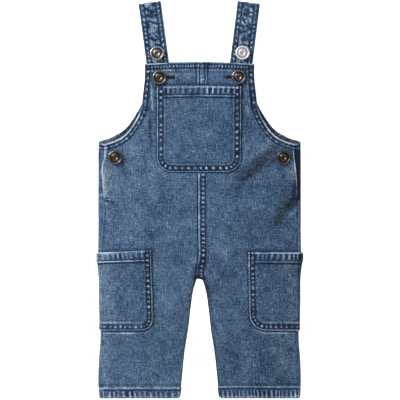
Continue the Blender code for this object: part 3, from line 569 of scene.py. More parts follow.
def hem_corner(up, inset):
    """How far a leg's lower corner is rounded off, fading out at the top of the hem."""
    short = np.clip(HEM_CORNER - inset, 0.0, HEM_CORNER)
    return (HEM_CORNER - np.sqrt(HEM_CORNER**2 - short**2)) * np.clip(1 - up / LEG_HEM, 0.0, 1.0)


def row_shares(near, outer, count, wide):
    """A row's columns as shares of its width, close together along its inner and outer edges."""
    first, last = near[-1], wide - outer[0]
    middle = np.linspace(0, 1, count)[1:-1]
    return np.concatenate([near, first + (last - first) * middle, wide - outer]) / wide


def panel_grid(side, centre, out, out_up, share, fold):
    """A panel's rows from its inner edge outwards: x, up, and the inner edge on each row."""
    up = centre[:, None] + (out_up - centre)[:, None] * share**ROW_BEND
    inner = inner_edge(side, up)
    x = inner + (SIGN[side] * out[:, None] - inner) * share
    fold = fold_out(up) if fold is None else fold
    return x, up + hem_corner(up, np.abs(x - inner)) + hem_corner(up, fold - np.abs(x)), inner


def side_roll(sign, fold, radius, floor, up, turns):
    """Points round the side fold at turns away from straight up, a row for each height, and normals."""
    x = (fold - radius)[:, None] + radius[:, None] * np.sin(turns)
    z = (floor + radius)[:, None] + radius[:, None] * np.cos(turns)
    points = np.stack([sign * x, np.broadcast_to(up[:, None], x.shape), z], axis=-1)
    normals = np.stack([sign * np.sin(turns), np.zeros(len(turns)), np.cos(turns)], axis=-1)
    return points, np.broadcast_to(normals, points.shape)


def patch_foot(foot, corner, inset):
    """Height of a patch's lower edge, with its corner rounded."""
    short = np.clip(corner - inset, 0.0, corner)
    return foot + corner - np.sqrt(corner**2 - short**2)


# ---- The lines that are sewn ----


def panel_lines(side):
    """A panel's edges and seams as lines."""

    def armhole(arm, first):
        out, up = arm_edge(arm, np.linspace(first, CORNER, 90))
        return Line(np.column_stack([SIGN[side] * out, up]))

    def side_seam(first, last, count):
        ups = np.linspace(first, last, count)
        return Line(np.column_stack([SIGN[side] * seam_out(side, ups), ups]))

    def inner(ups):
        return Line(np.column_stack([inner_edge(side, ups), ups]))

    share = np.linspace(0, 1, 40)
    top_up = BIB_TOP - BIB_CORNER_DROP * share**ROW_BEND
    return {
        "top": Line(np.column_stack([SIGN[side] * FRONT_ARM[0].out * share, top_up])),
        "arm": armhole(FRONT_ARM, BIB_TOP),
        "back_arm": armhole(BACK_ARM, BACK_TOP),
        "placket": side_seam(CORNER_UP, PLACKET_FOOT_UP, 30),
        "below": side_seam(PLACKET_FOOT_UP, 0, 60),
        "middle": inner(np.linspace(BIB_TOP, CROTCH, 60)),
        "inseam": inner(np.concatenate([[CROTCH, 143.2, 141.5], np.linspace(139.8, 0, 50)])),
    }


def round_corner(x, up, radius):
    """Points round a patch's lower corner, from its upright edge at x to its foot at up."""
    turns = np.linspace(0, math.pi / 2, 12)
    return np.column_stack([x + radius - radius * np.cos(turns), up + radius - radius * np.sin(turns)])


def bib_pocket_line():
    """The bib pocket's sewn edge, down its left side, along the bottom and up its right side."""
    half = BIB_POCKET_WIDE / 2
    corner = round_corner(-half, BIB_POCKET_FOOT, BIB_POCKET_CORNER)
    left = np.vstack([[-half, BIB_POCKET_TOP - BIB_POCKET_DIP], corner])
    return Line(np.vstack([left, left[::-1] * [-1, 1]]) + [BIB_POCKET_MIDDLE, 0])


def patch_line(side, inner_top, inner_foot, top_up, far):
    """A side pocket's sewn edge, down its inner side, round its corner and along the bottom."""
    corner = round_corner(inner_foot, POCKET_FOOT, SIDE_POCKETS[side].corner)
    return Line(np.vstack([[inner_top, top_up], corner, [far, POCKET_FOOT]]) * [SIGN[side], 1])


def side_pocket_line(side):
    sizes = SIDE_POCKETS[side]
    return patch_line(side, sizes.inner_top, sizes.inner_foot, sizes.top_up, POCKET_FRONT_END)


def mouth_line(side, *beyond):
    """The top edge of a side pocket across the front, and on to places beyond the fold."""
    sizes = SIDE_POCKETS[side]
    places = [[sizes.inner_top, sizes.top_up]] + [[out, POCKET_TOP] for out in (MOUTH_END, *beyond)]
    return Line(np.array(places) * [SIGN[side], 1])


LINES = {side: panel_lines(side) for side in SIDES}
BIB_POCKET_EDGE = bib_pocket_line()
BIB_POCKET_MOUTH = Line([[BIB_POCKET_MIDDLE + share * BIB_POCKET_WIDE / 2, BIB_POCKET_TOP - dip]
                         for share, dip in ((-1, BIB_POCKET_DIP), (0, 0), (1, BIB_POCKET_DIP))])
POCKET_EDGE = {side: side_pocket_line(side) for side in SIDES}
POCKET_MOUTH = {side: mouth_line(side) for side in SIDES}

# ---- Marks of sewing, rubbing and painted shade: pairs of the cloth's height over its plain form and its tone ----


def combine(parts):
    """Marks that lie over each other: their heights and their tones add up."""
    return sum(high for high, _ in parts), sum(wear for _, wear in parts)


def scaled(marks, share):
    return marks[0] * share, marks[1] * share


def blend(marks, others, share):
    """Marks that give way to others as share goes from 0 to 1."""
    return combine([scaled(marks, 1 - share), scaled(others, share)])


def hem_marks(sewn, d, s, seed, band=BAND, slant=0.1, roll=0.4):
    """A sewn hem at depth d in from its edge and s along it.

    The edge is rolled, soft lines run along the hem, pale where the indigo has rubbed off and dark with
    painted shade in the stitches' hollows and beneath the fold, each row of stitches draws a hollow, and the
    cloth puckers in bands."""
    high = band * within(d, sewn.wide) + rolled(d, roll, over=1.1)
    wave = puckers(s + slant * d * (1 + noise_along(s, 19, seed + 6)), sewn.pitch, seed)
    wear = np.zeros(np.shape(high))
    for beads in sewn.beads:
        filled = np.exp(-(((d - beads.depth) / beads.half) ** 4))
        high = high + 0.35 * min(beads.crest, 1.0) * wave * filled
        wear = wear + beads.crest * wave * filled
    for k, mark in enumerate(sewn.marks):
        uneven = 1 + 0.25 * noise_along(s, 11, seed + 5 + k)
        wear = wear + mark.wear * bump((d - mark.depth) / mark.half) * uneven
    for row in sewn.rows:
        high = high - 0.3 * bump((d - row) / CHANNEL)
    return high, wear


def beside_marks(d, s, seed, foot):
    """The cloth just outside a patch that is sewn onto it, with a line of painted shadow along the patch's
    edge;
    foot is 1 below the patch.
    """
    # outline is painted shadow along the patch's edge, stronger below its foot, where a pale halo lies beyond
    # it
    outline = -0.65 * bump((d - 0.8) / 0.8) * (1 - foot) - 0.85 * bump((d - 0.4) / 0.8) * foot
    halo = 0.75 * bump((d - 2.6) / 1.0) * (1 + 0.7 * noise_along(s, 9, seed + 3)) * foot
    wave = puckers(s, 7.6, seed) * np.exp(-d / 4.0)
    return 0.10 * wave, outline + halo + 0.12 * wave


def foot_share(s):
    """How far a place along a side pocket's edge is past its corner and along its foot."""
    return ease((s - 88) / 12)


def side_shading(x):
    """Painted shading across the garment, paler at the left side than at the right, as the light falls from
    the left.
    """
    return 0.05 * ease(-x / 110) - 0.06 * ease((x + 10) / 20) - 0.24 * ease(x / 110)


def cloth_unevenness(x, up, seed):
    """Soft unevenness of a washed panel."""
    broad = noise_over(x + 7, up, 34, seed)
    soft = noise_over(x + 0.3 * up, up, 15, seed + 1)
    small = noise_over(x, up, 5.5, seed + 2)
    return 0.26 * broad + 0.16 * soft + 0.06 * small, 0.06 * broad + 0.06 * soft + 0.10 * small


def dullness(x, up):
    """How far the blue of the front turns grey, from 0 to 1: the grey-green of painted shade in the fold
    troughs, and greyed cloth elsewhere.
    """
    grey = 0.0
    for shade_or_rub in SHADES_AND_RUBS:
        if shade_or_rub.dull:
            grey = grey + shade_or_rub.dull * bump(Line(shade_or_rub.places).near(x, up)[0] / (1.15 * shade_or_rub.wide))
    return np.minimum(grey, 1.0)


def leg_hem_marks(side, x, up, seed, band):
    """The hem at the foot of a leg."""
    marks = hem_marks(LEG[side], up, x, seed, band=band)
    return scaled(marks, ease((LEG[side].wide + 6 - up) / 3))


def bib_edge_marks(side, x, up, seed):
    """The hems along the bib's top and the armhole, which share one step down to the plain cloth."""
    d_top, s_top = LINES[side]["top"].near(x, up)
    d_arm, s_arm = LINES[side]["arm"].near(x, up)
    # the hems' dark lines are painted shade along the stitches and the rolled edges; the pale ones are rubbed
    curved = hem_marks(ARMHOLE, d_arm, s_arm, seed, band=0)
    upright = hem_marks(BIB_SIDE, d_arm, s_arm, seed, band=0)
    arm_high, arm_wear_and_shade = blend(curved, upright, ease((up - 336) / 26))
    arm_wear_and_shade = arm_wear_and_shade * ease((d_top - 1.0) / 3.0)
    pale_rim = 0.4 * bump((d_arm - 1.35) / 0.9) * ease((s_arm - 74) / 10)
    top_high, top_wear_and_shade = hem_marks(TOP_HEM, d_top, s_top, seed + 2, band=0)
    if side == "left":
        along_hole = ease((-x - 28) / 4) * ease((x + 62) / 3)
        top_wear_and_shade = top_wear_and_shade + 0.5 * bump((d_top - 8.7) / 0.9) * along_hole
    pale_edge = bump((d_top - 0.7) / 0.8) * ease((np.abs(x) - 34) / 12)
    top = scaled((top_high, top_wear_and_shade + pale_edge), ease((d_arm - 1.2) / 1.2))
    band = BAND * np.maximum(within(d_arm, ARM_HEM), within(d_top, TOP_HEM.wide))
    return combine([(arm_high + band, arm_wear_and_shade + pale_rim), top])


def opening_marks(side, x, up):
    """The rolled and rubbed edge of the side opening."""
    d, _ = LINES[side]["placket"].near(x, up)
    if side == "left":
        top = 306
        rubbed = 1.2 - 0.5 * ease((294 - up) / 8) - 0.25 * ease((266 - up) / 8)
        lower = ease((280 - up) / 12) * (1 - 0.6 * ease((264 - up) / 12))
        worn = rubbed * bump((d - 0.8) / 1.4) + 0.35 * lower * bump((d - 3.0) / 3.0)
        worn = worn + 0.35 * bump((d - 2.3) / 1.3)
    else:
        top = 300
        rubbed = 1.35 - 0.35 * ease((292 - up) / 8) + 0.2 * ease((272 - up) / 8) - 0.45 * ease((258 - up) / 8)
        worn = rubbed * bump((d - 0.7) / 0.8) + 0.1 * bump((d - 3.0) / 2.0)
    on = ease((up - PLACKET_FOOT_UP + 4) / 6) * ease((top - up) / 6)
    return scaled((rolled(d, 0.35), worn), on)


def side_seam_marks(side, x, up, seed):
    """The side seam below the opening."""
    d, s = LINES[side]["below"].near(x, up)
    wave = puckers(s, 8.4, seed) * np.exp(-d / 3.5)
    on_leg = ease((POCKET_FOOT - up) / 6)
    pale = 0.05 * bump((d - 0.8) / 2.4) + on_leg * (0.12 * bump((d - 1) / 2) + 0.18 * bump((d - 4.5) / 3))
    on = ease((PLACKET_FOOT_UP + 2 - up) / 4)
    return scaled((rolled(d, 0.3) + 0.12 * wave, pale + 0.2 * wave), on)


def inseam_marks(side, x, up, seed):
    """The inner leg's seam, which lies in shade at the edge."""
    d, s = LINES[side]["inseam"].near(x, up)
    wave = puckers(s, 9.0, seed) * np.exp(-d / 4.0)
    return 0.08 * wave, 0.2 * wave - 0.9 * bump(d / 1.3)


def centre_seam_marks(side, x, up, seed):
    """The centre seam: its lap and two rows on the right panel; on the left one a dark line of painted shadow
    beside the lap, and on the bib a pale line next to it.
    """
    d, s = LINES["right"]["middle"].near(x, up)
    above = ease((up - SEAM_BARE_TOP) / STEP)
    if side == "right":
        low = hem_marks(LAPPED, d, s, seed, slant=0.0)
        marks = blend(low, hem_marks(BIB_SEAM, d, s, seed + 2, slant=0.0), above)
    else:
        wave = puckers(s, 7.4, seed) * np.exp(-d / 3.0)
        outline = -0.95 * bump((d - 2.0) / 0.8) * (1 - above) - 0.7 * bump((d - 3.6) / 1.0) * above
        outline = outline + 0.9 * bump((d - 1.0) / 0.8) * above
        marks = (0.05 * wave, outline + 0.1 * wave)
    shown = np.maximum(1 - within(up, SEAM_BARE_TOP), within(up, SEAM_BARE_FOOT))
    return scaled(marks, shown * ease((up - CROTCH + 1) / 3))


def front_marks(side, x, up):
    """A front panel's sewing, creases, rubbed tone and painted shade."""
    seed = SEED[f"front_{side}"]
    parts = [
        bib_edge_marks(side, x, up, seed),
        opening_marks(side, x, up),
        side_seam_marks(side, x, up, seed + 8),
        inseam_marks(side, x, up, seed + 9),
        centre_seam_marks(side, x, up, seed + 12),
        leg_hem_marks(side, x, up, seed + 20, band=BAND),
    ]
    d, s = BIB_POCKET_EDGE.near(x, up)
    parts.append(beside_marks(d, s, seed + 33, 0.0))
    d, s = POCKET_EDGE[side].near(x, up)
    parts.append(beside_marks(d, s, seed + 36, foot_share(s)))
    # painted shadow on the cloth just above the mouths of the bib pocket and the side pocket
    for mouth, shade in ((BIB_POCKET_MOUTH, -0.55), (POCKET_MOUTH[side], -0.45 if side == "left" else -0.25)):
        d, _ = mouth.near(x, up)
        parts.append((0.0, shade * bump((d - 1.2) / 2.4)))
    parts.append(cloth_unevenness(x, up, seed + 40))
    # painted shading: paler at the left side than at the right, and paler on creases' ridges, darker in their
    # troughs
    parts.append((0.0, side_shading(x) + 0.2 * creased(x, up)))
    # crease troughs and shadows painted dark as shade, paler ridges and rubbed places, from the table of them
    uneven = 1 + 0.35 * noise_over(x, up, 4.0, seed + 60)
    for shade_or_rub in SHADES_AND_RUBS:
        d, _ = Line(shade_or_rub.places).near(x, up)
        parts.append(scaled((shade_or_rub.high, shade_or_rub.wear), bump(d / shade_or_rub.wide) * uneven))
    return combine(parts)


def back_marks(side, x, up, on_roll):
    """A back panel's sewing, drawn in so that the panel still lies flat."""
    seed = SEED[f"back_{side}"]
    d, s = LINES[side]["back_arm"].near(x, up)
    parts = [hem_marks(ARMHOLE, d, s, seed, band=0)]
    top = hem_marks(TOP_HEM, BACK_TOP - up, x, seed + 2, band=0)
    parts.append(scaled(top, ease((up - BACK_TOP + 14) / 4)))
    d, s = LINES["right"]["middle"].near(x, up)
    if side == "right":
        seam = hem_marks(LAPPED, d, s, seed + 4, band=0, slant=0.0)
    else:
        seam = (0.0, 0.3 * bump((d - 2.2) / 1.0) - 0.5 * bump(d / 0.9))
    parts.append(scaled(seam, ease((up - CROTCH + 1) / 3)))
    parts.append(leg_hem_marks(side, x, up, seed + 6, band=0))
    parts.append(cloth_unevenness(x, up, seed + 8))
    high, wear = combine(parts)
    return np.where(on_roll, 0.3 * high, np.minimum(high - 0.1, 0.0)), wear


def roll_wear_and_shade(side, x, up, below_arm, from_seam, past_fold):
    """Tone of the back's cloth where it shows round the side fold and under the side opening: rubbed lines,
    and painted shade in the gap under the opening and, on the right, along the fold that faces away from the
    light.
    """
    _, hem_wear_and_shade = hem_marks(ARMHOLE, below_arm, np.abs(x), 173, band=0)
    opening = ease((up - PLACKET_FOOT_UP + 4) / 6)
    shaded = opening * ease((below_arm - 7.5) / 2)
    beside_seam = bump((from_seam - 0.8) / 1.6) * (1 - opening)
    wear = hem_wear_and_shade * (below_arm > 0)
    if side == "left":
        bands = 0.5 * noise_over(x, 0.5 * up, 4.2, seed=91)
        # on the left the gap under the opening is painted darker as shade, with bands, and lighter lower down
        wear = wear + shaded * (bands - 0.5 + 0.45 * ease((288 - up) / 10)) + 0.3 * beside_seam
        pinched = 0.5 * bump((up - 237.6) / 1.8) + 0.7 * bump((up - 244.2) / 1.1)
        return wear + pinched + 0.7 * ease((13.5 - up) / 2) * ease((up - 1) / 2)
    # on the right the gap under the opening is painted near-black as shade, with streaks, and the fold is
    # painted darker as it faces away from the light
    streaks = 0.45 * noise_over(x, 0.12 * up, 1.3, seed=97)
    wear = wear + shaded * (streaks - 1.25) + 0.05 * beside_seam
    return wear - 0.5 * ease((past_fold + 2.4) / 1.6)


def lining_wear_and_shade(side, x, up):
    """Tone of the back's inner side, which shows in the armhole: painted shade all over it, as it lies in
    shadow there, darkest at its edge, with streaks, and paler towards the corner.
    """
    # plain is the painted shade over the whole inner side; by_corner makes it paler towards the corner
    plain, by_corner = (-0.75, 0.75) if side == "left" else (-0.6, 0.45)
    edge, s = LINES[side]["back_arm"].near(x, up)
    streaked = 0.5 * noise_over(s, 0.9 * edge, 1.2, seed=61) + 0.3 * noise_along(s, 7.0, seed=63)
    return plain + streaked - 0.9 * bump(edge / 0.9) + by_corner * ease((np.abs(x) - 92) / 10)


def pocket_marks(edge, mouth, border, top, x, up, seed, foot=0.0):
    """A patch pocket: a band across its mouth and a double row round its sewn edge.

    foot is how strongly the inner ply's edge shows along the pocket's foot."""
    d, s = edge.near(x, up)
    high, wear = hem_marks(border, d, s, seed, band=0, roll=0.5)
    plump = 0.3 * (1 - ease((d - 7.4) / 1.6))
    ply = 0.55 * bump((d - 10.0) / 1.0) - 0.2 * bump((d - 12.4) / 0.9)
    uneven = 0.35 * noise_along(s, 7, seed + 11) * bump((d - 5) / 4)
    at_foot = foot * foot_share(s)
    wear = wear * (1 - 0.3 * at_foot) + at_foot * (ply + uneven)
    below, along = mouth.near(x, up)
    # the mouth's hem: pale rubbed lines, and dark lines of painted shade along its stitches and beneath its
    # fold
    mouth_high, mouth_wear_and_shade = hem_marks(top, below, along, seed + 3)
    clear = ease((d - border.rows[-1] + 0.3) / 0.8)
    low = ease((top.wide + 9 - below) / 5) * (0.25 + 0.75 * clear)
    band = BAND * within(below, top.wide)
    parts = [(high + plump, wear), ((mouth_high - band) * low + band, mouth_wear_and_shade * low)]
    return combine(parts + [cloth_unevenness(x, up, seed + 6)])


def strap_marks(side, a, s):
    """A doubled strap, a across from its middle and s along it."""
    seed = SEED[f"strap_{side}"]
    faded = -0.22 if side == "left" else 0.1
    d = STRAP_WIDE / 2 - np.abs(a)
    apart = s + OTHER_EDGE * (a > 0)
    high, wear = hem_marks(STRAP_EDGE, d, apart, seed, band=0, slant=0.3, roll=0.7)
    blotch = noise_over(a + 40, s + 0.5 * a, 3.4, seed + 3) + 0.6 * noise_over(a, s - 0.3 * a, 2.2, seed + 4)
    ripple = 2 * math.pi * (s + 0.3 * a) / 7.0 + 2 * noise_over(a, s, 8.0, seed + 5)
    blotch = np.tanh(2.4 * (blotch + 0.35 * np.sin(ripple)))
    inside = ease((d - STRAP_EDGE.rows[0] - 0.2) / 1.0)
    return high + 0.25 * blotch * inside, wear + (0.8 * blotch + faded) * inside


# ---- Materials ----


def linear(colour):
    """A colour given as 0 to 255 in sRGB, for a shader socket."""
    parts = [c / 255 for c in colour]
    return (*[p / 12.92 if p <= 0.04045 else ((p + 0.055) / 1.055) ** 2.4 for p in parts], 1.0)


class Graph:
    """Builds a material's nodes one call at a time."""

    def __init__(self, name, viewport):
        self.material = bpy.data.materials.new(name)
        self.material.use_nodes = True
        self.material.diffuse_color = linear(viewport)
        self.nodes = self.material.node_tree.nodes
        self.links = self.material.node_tree.links
        self.shader = self.nodes["Principled BSDF"]

    def plug(self, socket, value):
        """Link another node's output to a socket, or set a plain value on it."""
        if hasattr(value, "is_output"):
            self.links.new(value, socket)
        else:
            socket.default_value = value

    def node(self, kind, values=None, **settings):
        made = self.nodes.new(kind)
        for key, value in settings.items():
            setattr(made, key, value)
        for key, value in (values or {}).items():
            self.plug(made.inputs[key], value)
        return made

    def maths(self, operation, a, b=0.0, c=0.0, clamp=False):
        made = self.node("ShaderNodeMath", {0: a, 1: b, 2: c}, operation=operation, use_clamp=clamp)
        return made.outputs[0]

    def plus(self, total, value, amount):
        return self.maths("ADD", total, self.maths("MULTIPLY", value, amount))

    def attribute(self, name):
        return self.node("ShaderNodeAttribute", attribute_name=name).outputs["Fac"]

    def noise(self, place, stretch, detail=3.0, roughness=0.55):
        """Noise from 0 to 1 with features of the given size, in metres, along the cloth's map."""
        scaled_place = self.node("ShaderNodeMapping", {"Vector": place, "Scale": [1 / s for s in stretch]})
        values = {"Vector": scaled_place.outputs[0], "Scale": 1.0, "Detail": detail, "Roughness": roughness}
        return self.node("ShaderNodeTexNoise", values).outputs["Fac"]

    def ramp(self, fac, stops):
        made = self.node("ShaderNodeValToRGB", {"Fac": fac})
        elements = made.color_ramp.elements
        while len(elements) < len(stops):
            elements.new(0.5)
        for element, (place, colour) in zip(elements, stops):
            element.position = place
            element.color = linear(colour)
        return made.outputs["Color"]

    def mix(self, fac, a, b, blend_type="MIX"):
        made = self.node("ShaderNodeMix", {0: fac, 6: a, 7: b}, data_type="RGBA", blend_type=blend_type)
        return made.outputs[2]

    def bumped(self, height, strength, distance):
        values = {"Height": height, "Strength": strength, "Distance": distance}
        return self.node("ShaderNodeBump", values).outputs[0]

    def finish(self, **sockets):
        for key, value in sockets.items():
            self.plug(self.shader.inputs[key.replace("_", " ")], value)
        return self.material


def denim_material():
    """Washed indigo twill: pale where rubbed, dark with painted shade in seams and hollows, and slubby yarns.
    """
    g = Graph("washed denim", (78, 103, 131))
    weave = g.node("ShaderNodeUVMap", uv_map="weave").outputs[0]
    wear = g.attribute("wear")
    grain = g.noise(weave, (0.0019, 0.0021, 1), 3.0, 0.7)
    warp = g.noise(weave, (0.0013, 0.009, 1), 2.0)
    weft = g.noise(weave, (0.008, 0.0013, 1), 2.0)
    cloud = g.noise(weave, (0.018, 0.024, 1), 3.0)
    tone = g.maths("MULTIPLY_ADD", wear, 0.42, 0.49)
    for fac, amount in ((grain, 1.35), (warp, 0.7), (weft, 0.45), (cloud, 0.36)):
        tone = g.plus(tone, g.maths("SUBTRACT", fac, 0.5), amount)
    colour = g.ramp(tone, [(0.0, (9, 22, 43)), (0.22, (32, 52, 80)), (0.5, (73, 100, 130)),
                           (0.76, (115, 141, 167)), (1.0, (185, 201, 217))])
    hue = g.noise(weave, (0.016, 0.02, 1), 3.0, 0.7)
    teal = g.maths("MULTIPLY", g.maths("SUBTRACT", hue, 0.5, clamp=True), 1.8)
    violet = g.maths("MULTIPLY", g.maths("SUBTRACT", 0.5, hue, clamp=True), 1.8)
    colour = g.mix(teal, colour, linear((52, 104, 132)), "SOFT_LIGHT")
    colour = g.mix(violet, colour, linear((104, 98, 140)), "SOFT_LIGHT")
    grey = g.ramp(tone, [(0.0, (20, 24, 34)), (0.25, (52, 58, 74)), (0.5, (98, 102, 118)),
                         (1.0, (182, 184, 194))])
    colour = g.mix(g.attribute("reverse"), colour, grey)
    # dull turns the colour grey-green: the tint of painted shade in fold troughs, and of greyed cloth
    mossy = g.ramp(tone, [(0.0, (18, 28, 36)), (0.25, (48, 62, 70)), (0.5, (88, 104, 112)),
                          (1.0, (192, 202, 206))])
    colour = g.mix(g.maths("MULTIPLY", g.attribute("dull"), 0.8), colour, mossy)

    turned = g.node("ShaderNodeMapping", {"Vector": weave, "Rotation": (0, 0, math.radians(62)),
                                          "Scale": (1300, 1300, 1300)})
    twill = g.node("ShaderNodeTexWave", {"Vector": turned.outputs[0], "Scale": 1.0, "Distortion": 1.2,
                                         "Detail": 1.0, "Detail Scale": 2.0}).outputs["Fac"]
    relief = g.plus(g.plus(g.maths("MULTIPLY", twill, 0.35), grain, 0.9), warp, 0.5)
    rough = g.maths("MULTIPLY_ADD", grain, 0.16, 0.78)
    return g.finish(Base_Color=colour, Roughness=rough, Normal=g.bumped(relief, 0.55, 0.0006),
                    Sheen_Weight=0.07, Sheen_Roughness=0.5, Specular_IOR_Level=0.25)


def thread_material(name, dark, middle, pale):
    g = Graph(name, middle)
    fuzz = g.noise(g.node("ShaderNodeTexCoord").outputs["Object"], [0.0016] * 3, 2.0)
    colour = g.ramp(fuzz, [(0.25, dark), (0.6, middle), (0.9, pale)])
    return g.finish(Base_Color=colour, Roughness=0.7, Normal=g.bumped(fuzz, 0.3, 0.0002),
                    Specular_IOR_Level=0.3)


def metal_material(name, metallic, rough):
    """Worn nickel: bright where rubbed, brown and dull in the hollows."""
    g = Graph(name, (120, 112, 106))
    patina = g.noise(g.node("ShaderNodeTexCoord").outputs["Object"], [0.0014] * 3, 4.0, 0.65)
    uneven = g.maths("MULTIPLY", g.maths("SUBTRACT", patina, 0.5), 0.9)
    bright = g.maths("ADD", g.attribute("rub"), uneven, clamp=True)
    colour = g.ramp(bright, [(0.0, (48, 42, 36)), (0.35, (92, 86, 78)), (0.7, (156, 152, 156)),
                             (1.0, (232, 226, 232))])
    return g.finish(Base_Color=colour, Roughness=rough, Metallic=metallic,
                    Normal=g.bumped(patina, 0.2, 0.0003))


def floor_material():
    g = Graph("pale floor", (250, 250, 250))
    return g.finish(Base_Color=linear((250, 250, 250)), Roughness=0.9, Emission_Color=(1, 1, 1, 1),
                    Emission_Strength=0.9)


DENIM = denim_material()
THREAD_COTTON = thread_material("indigo thread", (18, 30, 52), (36, 56, 86), (80, 102, 132))
BUTTONHOLE_TWIST = thread_material("dark buttonhole thread", (12, 12, 16), (28, 28, 34), (60, 60, 68))
DULL_METAL = metal_material("worn button metal", 0.95, 0.3)
# painted light: a brighter, less metallic, rougher metal for the one button drawn as catching the light
BRIGHT_METAL = metal_material("painted-bright button metal", 0.5, 0.5)

# ---- The pieces of cloth ----


def to_metres(points):
    """Places of (x, up, z) in millimetres as places in the shared frame."""
    return (np.asarray(points, float) - [0.0, LENGTH / 2, 0.0]) * MM


def new_object(name, verts, faces):
    mesh = bpy.data.meshes.new(name)
    mesh.from_pydata(verts.tolist(), [], faces)
    made = bpy.data.objects.new(name, mesh)
    bpy.context.collection.objects.link(made)
    return made


def new_piece(name, verts, faces, material):
    piece = new_object(name, verts, faces)
    piece.data.materials.append(material)
    piece.data.shade_smooth()
    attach(piece, "root")
    return piece


def face_outwards(mesh):
    form = bmesh.new()
    form.from_mesh(mesh)
    bmesh.ops.recalc_face_normals(form, faces=form.faces)
    form.to_mesh(mesh)
    form.free()


def put_values(mesh, name, values):
    mesh.attributes.new(name, "FLOAT", "POINT").data.foreach_set("value", values.astype(np.float32))


def shell(name, points, normals, high, wear, across, along=None, kept=None, thick=WALL, inner_wear_and_shade=-0.2,
          reverse=1.0, lap=None, dull=0.0):
    """A closed shell of cloth: the skin with its relief, a plain inner side, and rims round every edge.

    across and along are each point's place on the flat cloth, for the weave's map.  The inner side's tone is
    given separately, and carries painted shade where a back's inner side shows in the armhole.  reverse tells
    how far the inner side shows the twill's grey reverse.  lap moves the skin to the left, where a seam laps
    over its other half.  dull is how far the blue turns grey at each point: grey-green painted shade in fold
    troughs, and greyed cloth elsewhere."""
    rows, cols = points.shape[:2]
    index = np.arange(rows * cols).reshape(rows, cols)
    cells = np.stack([index[:-1, :-1], index[1:, :-1], index[1:, 1:], index[:-1, 1:]], axis=-1)
    cells = cells.reshape(-1, 4) if kept is None else cells[kept]
    used, cells = np.unique(cells, return_inverse=True)
    cells = cells.reshape(-1, 4)
    count = len(used)
    skin = points + normals * high[..., None]
    if lap is not None:
        skin[..., 0] -= lap
    lining = points - normals * thick
    verts = np.vstack([skin.reshape(-1, 3)[used], lining.reshape(-1, 3)[used]])
    edges = np.concatenate([cells[:, [k, (k + 1) % 4]] for k in range(4)])
    rim = edges[~np.isin(edges[:, 0] * count + edges[:, 1], edges[:, 1] * count + edges[:, 0])]
    walls = np.column_stack([rim[:, 1], rim[:, 0], rim[:, 0] + count, rim[:, 1] + count])
    faces = np.concatenate([cells, cells[:, ::-1] + count, walls])
    piece = new_piece(f"denim_{name}", to_metres(verts), faces.tolist(), DENIM)
    mesh = piece.data
    face_outwards(mesh)

    def at_points(values):
        return np.broadcast_to(values, (rows, cols)).reshape(-1)[used]

    put_values(mesh, "wear", np.concatenate([at_points(wear), at_points(0.25 * wear + inner_wear_and_shade)]))
    put_values(mesh, "reverse", np.repeat([0.0, reverse], count))
    put_values(mesh, "dull", np.tile(at_points(dull), 2))
    along = points[..., 1] if along is None else along
    flat = np.tile(np.column_stack([at_points(across + ROLL[name]), at_points(along)]), (2, 1))
    corners = np.empty(len(mesh.loops), int)
    mesh.loops.foreach_get("vertex_index", corners)
    weave = mesh.uv_layers.new(name="weave")
    weave.data.foreach_set("uv", (flat[corners] * MM).astype(np.float32).ravel())
    return piece


def front(side):
    """A front panel: bib, body and leg."""
    centre = runs(*FRONT_ROWS)
    arm_out, arm_up = arm_edge(FRONT_ARM, centre)
    out_up = np.where(centre > CORNER, arm_up, straight(LEANS, "centre", "front", centre))
    out = np.where(centre > CORNER, arm_out, seam_out(side, out_up))
    near, outer = runs(*FRONT_AT_SEAM), runs(*FRONT_AT_HEM)
    wider = np.minimum(hem_along_rows(centre, out, out_up), 3.2)
    wide = out - np.abs(inner_edge(side, centre))
    share = np.array([row_shares(near, outer * by, FRONT_BETWEEN, w) for w, by in zip(wide, wider)])
    x, up, inner = panel_grid(side, centre, out, out_up, share, None)
    points, normals = rounded(x, up, face(x, up), 1.0)
    high, wear = front_marks(side, x, up)
    return shell(f"front_{side}", points, normals, high, wear, x, lap=seam_lap(side, x - inner, up),
                 dull=dullness(x, up))


